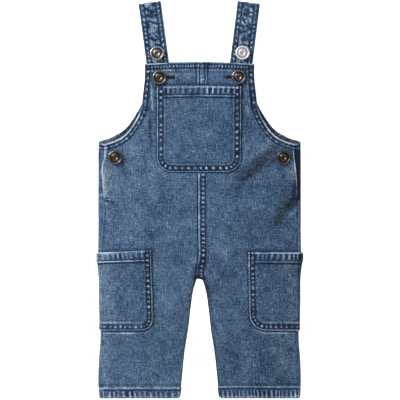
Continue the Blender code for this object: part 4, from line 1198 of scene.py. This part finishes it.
def back(side):
    """A back panel, which rolls up round the side fold to the front's edge and under the side opening."""
    sign = SIGN[side]
    centre = runs(*BACK_ROWS)
    arm_out, arm_up = arm_edge(BACK_ARM, centre)
    out_up = np.where(centre > CORNER, arm_up, straight(LEANS, "centre", "back", centre))
    fold = fold_out(out_up)
    drop = UNDERLAP_DROP * ease((centre - PLACKET_FOOT + 2) / 2)
    floor = lift(fold - NEAR_FOLD, out_up)
    radius = (face(fold - NEAR_FOLD, out_up) - drop - floor) / 2
    out = np.where(centre > CORNER, arm_out, fold - radius)

    near, outer = runs(*BACK_AT_SEAM), runs(*BACK_AT_HEM)
    wide = out - np.abs(inner_edge(side, centre))
    share = np.array([row_shares(near, outer, BACK_BETWEEN, w) for w in wide])
    x, up, _ = panel_grid(side, centre, out, out_up, share, fold[:, None])
    points, normals = rounded(x, up, lift(x, up), -1.0)
    flat_cells = x.shape[1] - 1

    turns = np.radians(np.linspace(180, 0, ROLL_TURNS)[1:])
    roll, roll_out = side_roll(sign, fold, radius, floor, out_up, turns)
    roll[..., 1] += hem_corner(roll[..., 1], fold[:, None] - np.abs(roll[..., 0]))
    seam_up = straight(LEANS, "centre", "front", centre)
    rise = (out_up - seam_up)[:, None]
    roll[..., 1] -= 0.7 * rise * (1 - turns / math.pi)
    seam = (seam_out(side, seam_up) + CLEARANCE)[:, None]
    beyond_seam = seam + (fold[:, None] - radius[:, None] - seam) * FROM_SEAM
    tops = np.hstack([beyond_seam, seam - runs((0, UNDERLAP, 2.2))])
    top_up = seam_up[:, None] + hem_corner(seam_up[:, None], fold[:, None] - tops)
    top_up[:, : len(FROM_SEAM)] += 0.3 * rise * FROM_SEAM
    top = np.stack([sign * tops, top_up, face(sign * tops, top_up) - drop[:, None]], axis=-1)

    points = np.concatenate([points, roll, top], axis=1)
    normals = np.concatenate([normals, roll_out, np.broadcast_to(UPWARD, top.shape)], axis=1)
    kept = np.ones((len(centre) - 1, points.shape[1] - 1), bool)
    seam_cell = flat_cells + len(turns) + len(FROM_SEAM) + 1
    kept[centre[:-1] > CORNER, flat_cells:] = False
    kept[centre[1:] < PLACKET_FOOT, seam_cell:] = False

    x, up = points[..., 0], points[..., 1]
    on_roll = np.arange(points.shape[1]) > flat_cells
    high, wear = back_marks(side, x, up, on_roll)
    corner_row = np.flatnonzero(centre <= CORNER)[0]
    below_arm = np.maximum(up[corner_row] - up, 0.0)
    out = np.abs(x)
    wear = wear + on_roll * roll_wear_and_shade(side, x, up, below_arm, np.abs(out - seam), out - fold[:, None])
    lap = seam_lap(side, np.abs(x - inner_edge(side, up)), up)
    return shell(f"back_{side}", points, normals, high, wear, lengths_along(points), kept=kept,
                 inner_wear_and_shade=lining_wear_and_shade(side, x, up), lap=lap)


def bib_pocket():
    """The bib pocket, a patch that lies slack across its mouth."""
    half = BIB_POCKET_WIDE / 2
    tall = BIB_POCKET_TOP - BIB_POCKET_FOOT
    rows = runs((0, 1.2, 0.4), (1.2, 9.0, 0.9), (9.0, 14.6, 0.5), (14.6, tall - 12, 1.05),
                (tall - 12, tall, 0.55)) / tall
    edge = runs((0, 12, 0.55), (12, half, 1.1))
    x = np.concatenate([edge - half, (half - edge)[::-1][1:]])
    x = np.broadcast_to(x, (len(rows), len(x)))
    inset = half - np.abs(x)
    foot = patch_foot(BIB_POCKET_FOOT, BIB_POCKET_CORNER, inset)
    top = BIB_POCKET_TOP - BIB_POCKET_DIP * (np.abs(x) / half) ** 2
    up = top + (foot - top) * rows[:, None]
    slack = BIB_POCKET_SLACK * ease((up - top + 40) / 40) * ease(inset / 16)
    x = x + BIB_POCKET_MIDDLE
    points = np.stack([x, up, face(x, up) + CLEARANCE + WALL + slack], axis=-1)
    high, wear = pocket_marks(BIB_POCKET_EDGE, BIB_POCKET_MOUTH, BIB_PATCH, BIB_MOUTH, x, up,
                              SEED["bib_pocket"])
    # darker all over, and darker towards the right: painted shading as the light falls from the left
    wear = wear - 0.07 - 0.07 * ease((x + 10) / 50)
    return shell("bib_pocket", points, np.broadcast_to(UPWARD, points.shape), high, wear, x)


def side_pocket_marks(side, across, up, on_front):
    """A side pocket's marks, read on the unrolled cloth, where its rear part lies beyond the fold."""
    sizes = SIDE_POCKETS[side]
    sign = SIGN[side]
    seed = SEED[f"side_pocket_{side}"]
    width = across.max()
    mouth = mouth_line(side, width + 20)
    foot_end = [sign * (width - sizes.corner), POCKET_FOOT]
    edge = Line(np.vstack([POCKET_EDGE[side].points[:-1], foot_end]))
    marks = pocket_marks(edge, mouth, PATCH[side], SIDE_MOUTH[side], sign * across, up, seed, foot=1.0)
    from_rear = np.where(on_front, OUT_OF_REACH, across[:, -1:] - across)
    rear = hem_marks(PATCH[side], from_rear, up, seed + 9, band=0, roll=0.5)
    high, wear = combine([marks, scaled(rear, ease((14 - from_rear) / 4))])
    # the painted shading across the garment, paler at the left than at the right, and the pocket's own tone
    wear = wear + side_shading(sign * np.minimum(across, SIDE_FOLD[0].out)) + sizes.tone
    # paler near the fold, and painted shade right on the right pocket's fold, which faces away from the light
    wear = wear + sizes.by_fold * ease((across - 92) / 16) + sizes.on_fold * ease((across - 116.5) / 2.5)
    return high, wear


def side_pocket(side):
    """A side pocket, which wraps from the front round the side fold to the back."""
    sign = SIGN[side]
    sizes = SIDE_POCKETS[side]
    corner = sizes.corner
    tall = POCKET_TOP - POCKET_FOOT
    rows = runs((0, 1.2, 0.4), (1.2, 8.8, 0.95), (8.8, 14.0, 0.5), (14.0, tall - 14, 1.15),
                (tall - 14, tall, 0.6)) / tall
    level = POCKET_TOP - tall * rows
    inner = (sizes.inner_top + (sizes.inner_foot - sizes.inner_top) * rows)[:, None]
    fold = fold_out(level)
    floor = WALL + CLEARANCE
    radius = (face(fold - NEAR_FOLD, level) - floor) / 2
    flat_end = (fold - radius)[:, None]
    near = np.tile(runs((0, 10.6, 0.55), (10.6, corner, 0.9)), (len(rows), 1))
    ahead = np.linspace(0, 1, POCKET_BETWEEN)[1:-1]
    front_in = np.hstack([near, corner + (flat_end - inner - corner) * ahead])
    rear_in = np.hstack([corner + (flat_end - POCKET_REAR_IN - corner) * ahead[::-2], near[:, ::-1]])
    turns = np.radians(np.linspace(0, 180, ROLL_TURNS))
    roll, roll_out = side_roll(sign, fold, radius, np.full(len(rows), floor), level, turns)

    outs = np.hstack([inner + front_in, np.abs(roll[..., 0]), POCKET_REAR_IN + rear_in])
    inset = np.hstack([front_in, np.full(roll.shape[:2], OUT_OF_REACH), rear_in])
    fold_column = front_in.shape[1]
    on_front = np.arange(outs.shape[1]) < fold_column
    from_fold = np.where(on_front, fold[:, None] - outs, 0.0)
    top = POCKET_TOP + (sizes.top_up - POCKET_TOP) * np.clip(from_fold / (fold[:, None] - inner), 0.0, 1.0)
    up = top + (patch_foot(POCKET_FOOT, corner, inset) - top) * rows[:, None]

    front_z = face(sign * outs[:, :fold_column], up[:, :fold_column])
    z = np.hstack([front_z, roll[..., 2], np.full(rear_in.shape, floor)])
    upward = np.broadcast_to(UPWARD, (*front_in.shape, 3))
    downward = np.broadcast_to(DOWNWARD, (*rear_in.shape, 3))
    normals = np.concatenate([upward, roll_out, downward], axis=1)
    slack = POCKET_SLACK * ease((up - top + 34) / 34) * ease(inset / 14) * ease(from_fold / 20)
    points = np.stack([sign * outs, up, z], axis=-1) + normals * (CLEARANCE + WALL + slack)[..., None]

    across = lengths_along(np.stack([outs, z], axis=-1))
    across = across - across[:, fold_column : fold_column + 1] + flat_end
    high, wear = side_pocket_marks(side, across, up, on_front)
    high = np.where(normals[..., 2] < FACES_DOWN, np.minimum(high - BAND, 0.0), high)
    dull = sizes.dull * ease((across - sizes.dull_past) / sizes.dull_run)
    return shell(f"side_pocket_{side}", points, normals, high, wear, sign * across, dull=dull)


def strap_slope(strap):
    return (strap.top - strap.edge) / (STRAP_TOP - BIB_TOP)


def strap_line(strap, up):
    return strap.edge + strap_slope(strap) * (up - BIB_TOP)


def strap_centre(strap, up):
    """The strap's centre line seen from above: straight to the bib, then bending to its button."""
    bend = ease((BIB_TOP - up) / STRAP_BEND)
    return strap_line(strap, up) * (1 - bend) + strap.button * bend


def strap_rows(strap):
    """Rows along a strap: its place, the direction across it, its height, and the way it faces."""
    slope = strap_slope(strap)
    ahead = np.array([slope, 1.0]) / math.hypot(slope, 1.0)
    fold_up = STRAP_TOP - STRAP_FOLD * ahead[1]
    rows, normals = [], []
    for up in runs((STRAP_FRONT_END, fold_up, 0.9)):
        x = strap_centre(strap, up)
        turn = math.atan2(strap_centre(strap, up + 1) - x, 1.0)
        rows.append((x, up, math.cos(turn), -math.sin(turn), 2 * STRAP_FOLD))
        normals.append(UPWARD)
    for turn in FOLD_TURNS:
        reach = STRAP_FOLD * math.cos(turn)
        x = strap_centre(strap, fold_up) + ahead[0] * reach
        rows.append((x, fold_up + ahead[1] * reach, ahead[1], -ahead[0], STRAP_FOLD * (1 + math.sin(turn))))
        normals.append((ahead[0] * math.cos(turn), ahead[1] * math.cos(turn), math.sin(turn)))
    climb = BACK_TOP + STRAP_CLIMB
    for up in runs((fold_up, climb, 1.4), (climb, STRAP_REAR_END, 1.4)):
        raised = (WALL + CLEARANCE) * ease((climb - up) / STRAP_CLIMB_LONG)
        rows.append((strap_line(strap, up), up, ahead[1], -ahead[0], raised))
        normals.append(DOWNWARD)
    return np.array(rows), np.array(normals)


def strap_shell(strap):
    """A doubled strap, from beneath the bib over the shoulder fold and down inside the back."""
    rows, row_normals = strap_rows(strap)
    half = STRAP_WIDE / 2
    edge = runs((0, 0.9, 0.3), (0.9, 7.5, 0.6), (7.5, half, 0.8))
    across = np.concatenate([edge - half, (half - edge)[::-1][1:]])
    x, up, ax, aup, z = rows.T[:, :, None]
    z = np.broadcast_to(z, (len(rows), len(across)))
    points = np.stack([x + across * ax, up + across * aup, z], axis=-1)
    normals = np.broadcast_to(row_normals[:, None, :], points.shape)
    s = lengths_along(rows[:, [0, 1, 4]])[:, None]
    across, s = np.broadcast_arrays(across[None, :], s)
    high, wear = strap_marks(strap.side, across, s)
    high = np.where(normals[..., 2] < FACES_DOWN, np.minimum(high, 0.0), high)
    return shell(f"strap_{strap.side}", points, normals, high, wear, across, along=s, thick=STRAP_THICK,
                 inner_wear_and_shade=-0.1, reverse=0.0)


# ---- Sewing thread and buttonholes ----

STITCH_RINGS = [  # along the stitch, radius, and out from the cloth
    (-0.5, 0.0, -0.5), (-0.42, 0.75, -0.12), (0.0, 1.0, 0.35), (0.42, 0.75, -0.12), (0.5, 0.0, -0.5),
]
STITCH_SIDES = 5
LEG_ROW = (24.0, 117.0)  # the ends of the rows along a leg's hem, from the centre line,
BACK_LEG_ROW = (24.0, 114.0)
BACK_TOP_ROW = (2.0, 58.0)  # of the row along the back's top,
MOUTH_ROW = (8.0, 42.0)  # and of the row across a pocket's mouth, from its sewn edge
PLACKET_ROW = 2.4  # how far in from the side opening's edge its row runs
BAR_TACK = (4.2, 1.8, 6)  # length, height and stitches of the bar at the opening's foot
STITCH_OVERLONG = 1.08  # a stitch dips into its holes a little past its ends
STITCH_PROUD = 0.1
STITCH_SHORTEST = 0.2  # what is left of one where the path runs off the cloth is left out
ROW_START = 0.3
HOLE_PITCH = 0.62  # the close stitches round a buttonhole
HOLE_STITCH = 1.1
TACK_PITCH = 0.4  # and those of the tack across its end
TACK_STITCH = 2.9
ABOVE = 14.0  # rows are dropped onto the cloth from this height,
FAR_ABOVE = 18.0  # over a pocket from this one,
BELOW = -10.0  # and on the underside from this one
STRAP_ABOVE = 3.0  # a strap's rows come from this far off it
FOLD_BARE = 2.9  # the turn of a strap at the shoulder, this far above and below its middle, shows no rows


def stitch_form():
    """One stitch about the origin, 1 long and 1 in radius: points as (along, aside, out), and its faces."""
    points, rings = [], []
    for along, wide, out in STITCH_RINGS:
        if wide == 0:
            rings.append([len(points)] * STITCH_SIDES)
            points.append((along, 0.0, out))
            continue
        rings.append([len(points) + k for k in range(STITCH_SIDES)])
        turns = [2 * math.pi * k / STITCH_SIDES for k in range(STITCH_SIDES)]
        points += [(along, wide * math.cos(t), out + wide * math.sin(t)) for t in turns]
    faces = []
    for a, b in zip(rings, rings[1:]):
        for k in range(STITCH_SIDES):
            n = (k + 1) % STITCH_SIDES
            corners = [a[k], b[k], b[n], a[n]]
            faces.append(tuple(dict.fromkeys(corners)))
    return np.array(points), faces


class Sewing:
    """Collects the stitches on one piece and makes them one mesh."""

    def __init__(self, piece):
        self.tree = BVHTree.FromObject(piece, bpy.context.evaluated_depsgraph_get())
        self.starts, self.ends = [], []

    def row(self, path, high=None):
        """A row of stitches along a path of (x, up) seen from a height, or of (x, up, z)."""
        path = np.asarray(path, float)
        if high is not None:
            path = np.column_stack([path, np.full(len(path), high)])
        s = lengths_along(path)
        first = np.arange(ROW_START, s[-1] - STITCH_LONG, STITCH_PITCH)
        self.starts.append(places_at(first, s, path))
        self.ends.append(places_at(first + STITCH_LONG, s, path))

    def cross(self, centres, directions, long, high):
        """Single stitches, each centred at a place and lying along a direction."""
        for store, sign in ((self.starts, -0.5), (self.ends, 0.5)):
            flat = centres + sign * long * directions
            store.append(np.column_stack([flat, np.full(len(flat), high)]))

    def on_cloth(self, points):
        """The nearest places on the piece's surface, and its normals there."""
        found = [self.tree.find_nearest(Vector(p)) for p in to_metres(np.vstack(points))]
        return np.array([f[0] for f in found]), np.array([f[1] for f in found])

    def finish(self, name, material=THREAD_COTTON):
        a, normal_a = self.on_cloth(self.starts)
        b, normal_b = self.on_cloth(self.ends)
        ahead = b - a
        length = np.linalg.norm(ahead, axis=1)
        good = (length > STITCH_SHORTEST * MM) & (length < 2 * STITCH_LONG * MM)
        a, b, ahead, length = a[good], b[good], ahead[good] / length[good][:, None], length[good]
        out = normal_a[good] + normal_b[good]
        out -= ahead * np.sum(out * ahead, axis=1)[:, None]
        out /= np.linalg.norm(out, axis=1)[:, None]
        aside = np.cross(out, ahead)
        form, faces = stitch_form()
        along = length[:, None, None] * form[None, :, :1] * STITCH_OVERLONG
        wide, proud = form[:, 1:2] * THREAD * MM, form[:, 2:] * THREAD * MM
        middle = (a + b) / 2 + out * STITCH_PROUD * MM
        verts = middle[:, None] + ahead[:, None] * along + aside[:, None] * wide + out[:, None] * proud
        every = [tuple(i + k * len(form) for i in f) for k in range(len(a)) for f in faces]
        return new_piece(name, verts.reshape(-1, 3), every, material)


def level_row(side, ends, up):
    """A level path between two distances from the centre line."""
    return np.array([[SIGN[side] * out, up] for out in ends])


def back_stitches(side, piece):
    """The rows of stitches on a back panel, seen from below."""
    sewing = Sewing(piece)
    for depth in ARMHOLE.rows:
        sewing.row(LINES[side]["back_arm"].beside(-SIGN[side] * depth, first=1.0, last=4.0), BELOW)
    sewing.row(level_row(side, BACK_TOP_ROW, BACK_TOP - TOP_HEM.rows[0]), BELOW)
    sewing.row(level_row(side, BACK_LEG_ROW, LEG[side].rows[0]), BELOW)
    if side == "right":
        for depth in LAPPED.rows:
            seam = LINES["right"]["middle"].beside(depth)
            sewing.row(seam[(seam[:, 1] < BACK_TOP - 2) & (seam[:, 1] > CROTCH + 0.5)], BELOW)
    return sewing.finish(f"stitching_back_{side}")


def panel_stitches(side, piece):
    """The rows of stitches on a front panel, with its buttonholes and the tack at its opening's foot."""
    sign = SIGN[side]
    lines = LINES[side]
    sewing = Sewing(piece)
    for depth in ARMHOLE.rows:
        sewing.row(lines["arm"].beside(-sign * depth, first=1.0), ABOVE)
    sewing.row(lines["top"].beside(sign * TOP_HEM.rows[0], last=ARM_HEM), ABOVE)
    sewing.row(lines["placket"].beside(-sign * PLACKET_ROW, first=8.0), ABOVE)
    sewing.row(level_row(side, LEG_ROW, LEG[side].rows[0]), ABOVE)
    if side == "right":
        for depth, bib_depth in zip(LAPPED.rows, BIB_SEAM.rows):
            seam = lines["middle"].beside(bib_depth, first=0.5)
            sewing.row(seam[seam[:, 1] > SEAM_BARE_TOP], ABOVE)
            seam = lines["middle"].beside(depth, first=0.5)
            sewing.row(seam[(seam[:, 1] < SEAM_BARE_FOOT) & (seam[:, 1] > CROTCH + 0.5)], ABOVE)
    long, tall, count = BAR_TACK
    tack = lines["placket"].points[-1] - [sign * 2.0, 0]
    places = tack + np.column_stack([np.zeros(count), np.linspace(-tall / 2, tall / 2, count)])
    sewing.cross(places, np.array([1.0, 0.0]), long, ABOVE)
    worked = Sewing(piece)
    strap = STRAPS[side]
    buttonhole(worked, strap.button, strap.button_up, -sign * BIB_SLOT)
    buttonhole(worked, sign * SIDE_BUTTON_OUT, SIDE_BUTTON_UP, sign * SIDE_SLOT)
    return [sewing.finish(f"stitching_front_{side}"), worked.finish(f"buttonholes_{side}", BUTTONHOLE_TWIST)]


def keyhole_outline(length, room=0.0):
    """A round eyelet about the shank with a slot that runs off towards +X, or -X for a negative length."""
    half, eye = BUTTONHOLE_SLOT / 2 + room, SHANK_HOLE + room
    start = math.asin(half / eye)
    angles = np.linspace(start, 2 * math.pi - start, 14)
    outline = [(eye * math.cos(a), eye * math.sin(a)) for a in angles]
    outline += [(abs(length) + room, -half), (abs(length) + room, half)]
    return np.array([(math.copysign(1.0, length) * px, pup) for px, pup in outline])


def buttonhole(sewing, x, up, length):
    """Close stitches all round a keyhole, pointing away from its edge, and a tack across its far end."""
    outline = keyhole_outline(length, room=0.3)
    line = Line(np.vstack([outline, outline[:1]]))
    centres = places_at(np.arange(0, line.starts[-1], HOLE_PITCH), line.starts, line.points)
    sewing.cross(centres + [x, up], to_left(centres), HOLE_STITCH, ABOVE)
    far = abs(length) + TACK_PITCH
    tack = np.arange(max(far - TACK_LONG, SHANK_HOLE + 1), far, TACK_PITCH)
    places = np.column_stack([x + math.copysign(1.0, length) * tack, np.full(len(tack), up)])
    sewing.cross(places, np.array([0.0, 1.0]), TACK_STITCH, ABOVE)


def cut_buttonhole(piece, x, up, length, low):
    """Cut a keyhole through a piece of cloth."""
    outline = keyhole_outline(length) + [x, up]
    count = len(outline)
    base = np.column_stack([outline, np.full(count, low)])
    faces = [tuple(range(count)), tuple(range(2 * count - 1, count - 1, -1))]
    faces += [(k, k + count, (k + 1) % count + count, (k + 1) % count) for k in range(count)]
    cutter = new_object("cutter", to_metres(np.vstack([base, base + [0, 0, ABOVE]])), faces)
    face_outwards(cutter.data)
    hole = piece.modifiers.new("buttonhole", "BOOLEAN")
    hole.operation = "DIFFERENCE"
    hole.solver = "EXACT"
    hole.object = cutter
    bpy.ops.object.select_all(action="DESELECT")
    bpy.context.view_layer.objects.active = piece
    bpy.ops.object.modifier_apply(modifier=hole.name)
    bpy.data.objects.remove(cutter)


def pocket_stitches(name, piece, edge, mouth, border, top, inward, rear=None):
    """Double row round a patch pocket's sewn edge and the row across its mouth's hem, also on its rear."""
    sewing = Sewing(piece)
    for depth in border.rows:
        sewing.row(edge.beside(inward * depth, first=1.0), FAR_ABOVE)
    from_top = math.copysign(top.rows[0], mouth.runs[0][0])
    sewing.row(mouth.beside(-from_top, first=MOUTH_ROW[0]), FAR_ABOVE)
    if rear is not None:
        for depth in border.rows:
            sewing.row(rear.beside(inward * depth, first=1.0), BELOW)
        ends = np.array([[-inward * far, -top.rows[0]] for far in MOUTH_ROW])
        sewing.row(rear.points[0] + ends, BELOW)
    return sewing.finish(name)


def strap_stitches(strap, piece):
    """A row along each edge of a strap, on its front layer and its rear one."""
    rows, _ = strap_rows(strap)
    x, up, ax, aup, z = rows.T
    layers = np.abs(z - STRAP_FOLD) > FOLD_BARE
    seen_from = z + np.where(z > STRAP_FOLD, STRAP_ABOVE, -STRAP_ABOVE)
    sewing = Sewing(piece)
    for edge in (-1.0, 1.0):
        a = edge * (STRAP_WIDE / 2 - STRAP_EDGE.rows[0])
        path = np.column_stack([x + a * ax, up + a * aup, seen_from])
        sewing.row(path[layers])
    return sewing.finish(f"stitching_strap_{strap.side}")


# ---- Jeans buttons ----

TACK_RADIUS = 4.5
TACK_THICK = 0.8
SHANK_RADIUS = 2.2
STRAP_TACK = 2 * STRAP_FOLD - STRAP_THICK - CLEARANCE - TACK_THICK  # height of the tacks beneath the straps
SHANKS = {"bib": 5.5, "strap": 4.6, "side": 4.8}  # from the tack up to the cap
Ring = namedtuple("Ring", "radius above rub")
CAP_RINGS = [Ring(*row) for row in (
    # the rim, from beneath the cap over its bead
    (7.2, 0.0, 0.0), (8.2, 0.3, 0.0), (8.5, 0.9, 0.1), (8.45, 1.5, 0.35), (8.1, 2.1, 0.6), (7.5, 2.5, 0.8),
    (6.9, 2.45, 0.7), (6.5, 2.1, 0.4), (6.2, 1.55, 0.1),
    # the groove, and the raised ring round the dished centre
    (5.8, 1.3, 0.0), (5.3, 1.35, 0.1), (4.9, 1.6, 0.25), (4.5, 2.0, 0.35), (4.1, 2.35, 0.45),
    (3.7, 2.6, 0.5), (3.2, 2.65, 0.5), (2.7, 2.45, 0.45), (2.2, 2.1, 0.3), (1.7, 1.85, 0.2),
    (1.2, 1.75, 0.2), (0.6, 1.7, 0.25),
)]
Shine = namedtuple("Shine", "scale base metal")
# How each button's metal is drawn: a scale on its rings' rub, a base added to that, and its material.  The
# differences between the buttons are painted light: the right strap's button is painted bright all over.
SHINE = {
    "bib_left": Shine(0.62, 0.05, DULL_METAL),
    "bib_right": Shine(0.62, 0.08, DULL_METAL),
    "strap_left": Shine(0.8, 0.2, DULL_METAL),
    "strap_right": Shine(0.5, 0.64, BRIGHT_METAL),
    "side_left": Shine(0.45, 0.1, DULL_METAL),
    "side_right": Shine(0.45, 0.0, DULL_METAL),
}


def jeans_button(kind, side, x, up, low):
    """A shank button, drawn up ring by ring from the disc of its tack to the centre of its cap."""
    shine = SHINE[f"{kind}_{side}"]
    cap = TACK_THICK + SHANKS[kind]
    rings = [Ring(TACK_RADIUS, TACK_THICK, 0.2), Ring(SHANK_RADIUS, TACK_THICK, 0.1)]
    rings.append(Ring(SHANK_RADIUS, cap, 0.1))
    rings += [Ring(r.radius, cap + r.above, r.rub) for r in CAP_RINGS]
    place = to_metres([x, up, low])
    bpy.ops.object.select_all(action="DESELECT")
    bpy.ops.mesh.primitive_circle_add(vertices=48, radius=TACK_RADIUS * MM, fill_type="NGON", location=place)
    piece = bpy.context.object
    piece.name = piece.data.name = f"jeans_button_{kind}_{side}"
    bpy.ops.object.mode_set(mode="EDIT")
    radius, high = TACK_RADIUS, 0.0
    for ring in rings:
        bpy.ops.mesh.extrude_region_move(TRANSFORM_OT_translate={"value": (0, 0, (ring.above - high) * MM)})
        factor = ring.radius / radius
        bpy.ops.transform.resize(value=(factor, factor, 1), center_override=place)
        radius, high = ring.radius, ring.above
    bpy.ops.mesh.merge(type="CENTER")
    bpy.ops.mesh.select_all(action="SELECT")
    bpy.ops.mesh.normals_make_consistent(inside=False)
    bpy.ops.object.mode_set(mode="OBJECT")
    bpy.ops.object.transform_apply(location=True, rotation=True, scale=True)
    piece.data.shade_smooth()
    piece.data.set_sharp_from_angle(angle=math.radians(50))

    points = np.empty(len(piece.data.vertices) * 3)
    piece.data.vertices.foreach_get("co", points)
    across, along, above = ((points.reshape(-1, 3) - place) / MM).T
    out = np.hypot(across, along)
    near = [min(rings, key=lambda r: abs(r.radius - o) + abs(r.above - a)) for o, a in zip(out, above)]
    put_values(piece.data, "rub", np.array([r.rub for r in near]) * shine.scale + shine.base)
    piece.data.materials.append(shine.metal)
    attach(piece, "root")
    return piece


# ---- The whole garment ----


def make_side(side):
    """One side's front, back, pocket and strap with their sewing, and its three buttons."""
    sign = SIGN[side]
    strap = STRAPS[side]
    side_x = sign * SIDE_BUTTON_OUT
    side_face = float(face(np.array([[side_x]]), np.array([[SIDE_BUTTON_UP]]))[0, 0])
    side_tack = side_face - UNDERLAP_DROP - WALL - 2 * CLEARANCE - TACK_THICK

    front_cloth = front(side)
    cut_buttonhole(front_cloth, strap.button, strap.button_up, -sign * BIB_SLOT, STRAP_TACK + TACK_THICK)
    cut_buttonhole(front_cloth, side_x, SIDE_BUTTON_UP, sign * SIDE_SLOT, side_tack + TACK_THICK)
    sewn = panel_stitches(side, front_cloth)
    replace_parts(front_cloth, f"front_{side}")

    back_cloth = back(side)
    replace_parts(back_cloth, f"back_{side}")
    back_stitches(side, back_cloth)

    pocket = side_pocket(side)
    rear = patch_line(side, POCKET_REAR_IN, POCKET_REAR_IN, POCKET_TOP, POCKET_REAR_END)
    sewn = pocket_stitches(f"stitching_side_pocket_{side}", pocket, POCKET_EDGE[side], POCKET_MOUTH[side],
                           PATCH[side], SIDE_MOUTH[side], -sign, rear)
    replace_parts(pocket, f"side_pocket_{side}")

    strap_cloth = strap_shell(strap)
    sewn = strap_stitches(strap, strap_cloth)
    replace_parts(strap_cloth, f"strap_{side}")

    spare_x = float(strap_centre(strap, strap.spare_up)) + strap.spare_aside
    for kind, x, up, low in (("bib", strap.button, strap.button_up, STRAP_TACK),
                             ("strap", spare_x, strap.spare_up, STRAP_TACK),
                             ("side", side_x, SIDE_BUTTON_UP, side_tack)):
        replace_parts(jeans_button(kind, side, x, up, low), f"button_{kind}_{side}")


def make_bib_pocket():
    """The bib pocket with its sewing."""
    patch = bib_pocket()
    sewn = pocket_stitches("stitching_bib_pocket", patch, BIB_POCKET_EDGE, BIB_POCKET_MOUTH, BIB_PATCH,
                           BIB_MOUTH, 1.0)
    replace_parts(patch, "bib_pocket")


for side in SIDES:
    make_side(side)
make_bib_pocket()

# ---- Floor, light and camera ----

FLOOR_DROP = -0.0005  # the thread on the underside stays clear of it
FLOOR_HALF = 6.0
VIEW_CENTRE = (0.0006, -0.00055)
VIEW_WIDE = 0.480
VIEW_HIGH = 0.005  # the level of the cloth that fills the view's width
CAMERA_HIGH = 2.2
CAMERA_REACH = 20
SENSOR = 36
STUDIO_LIGHT = 0.34  # the strength of the plain white light from all round
Light = namedtuple("Light", "name place size power")
LIGHTS = [
    Light("key", (-0.68, 0.63, 0.66), 0.4, 14.4),
    Light("fill", (-0.2, -0.9, 1.1), 1.0, 3),
    Light("glint", (0.62, -0.81, 0.9), 0.2, 2.2),
]


def area_light(light):
    """A square light aimed at the middle of the garment."""
    data = bpy.data.lights.new(light.name, "AREA")
    data.size = light.size
    data.energy = light.power
    made = bpy.data.objects.new(light.name, data)
    made.location = light.place
    made.rotation_euler = (-Vector(light.place)).to_track_quat("-Z", "Y").to_euler()
    bpy.context.collection.objects.link(made)


floor_corners = FLOOR_HALF * np.array([(-1, -1, 0), (1, -1, 0), (1, 1, 0), (-1, 1, 0)])
floor = new_object("floor", floor_corners + [0, 0, FLOOR_DROP], [(0, 1, 2, 3)])
floor.data.materials.append(floor_material())

for light in LIGHTS:
    area_light(light)

world = bpy.data.worlds.new("studio")
world.use_nodes = True
sky = world.node_tree.nodes["Background"]
sky.inputs["Color"].default_value = (1, 1, 1, 1)
sky.inputs["Strength"].default_value = STUDIO_LIGHT
bpy.context.scene.world = world

camera_data = bpy.data.cameras.new("camera")
camera_data.sensor_width = SENSOR
camera_data.lens = SENSOR * (CAMERA_HIGH - VIEW_HIGH) / VIEW_WIDE
camera_data.clip_end = CAMERA_REACH
camera = bpy.data.objects.new("camera", camera_data)
camera.location = (*VIEW_CENTRE, CAMERA_HIGH)
bpy.context.collection.objects.link(camera)
bpy.context.scene.camera = camera
bpy.context.scene.view_settings.view_transform = "Standard"
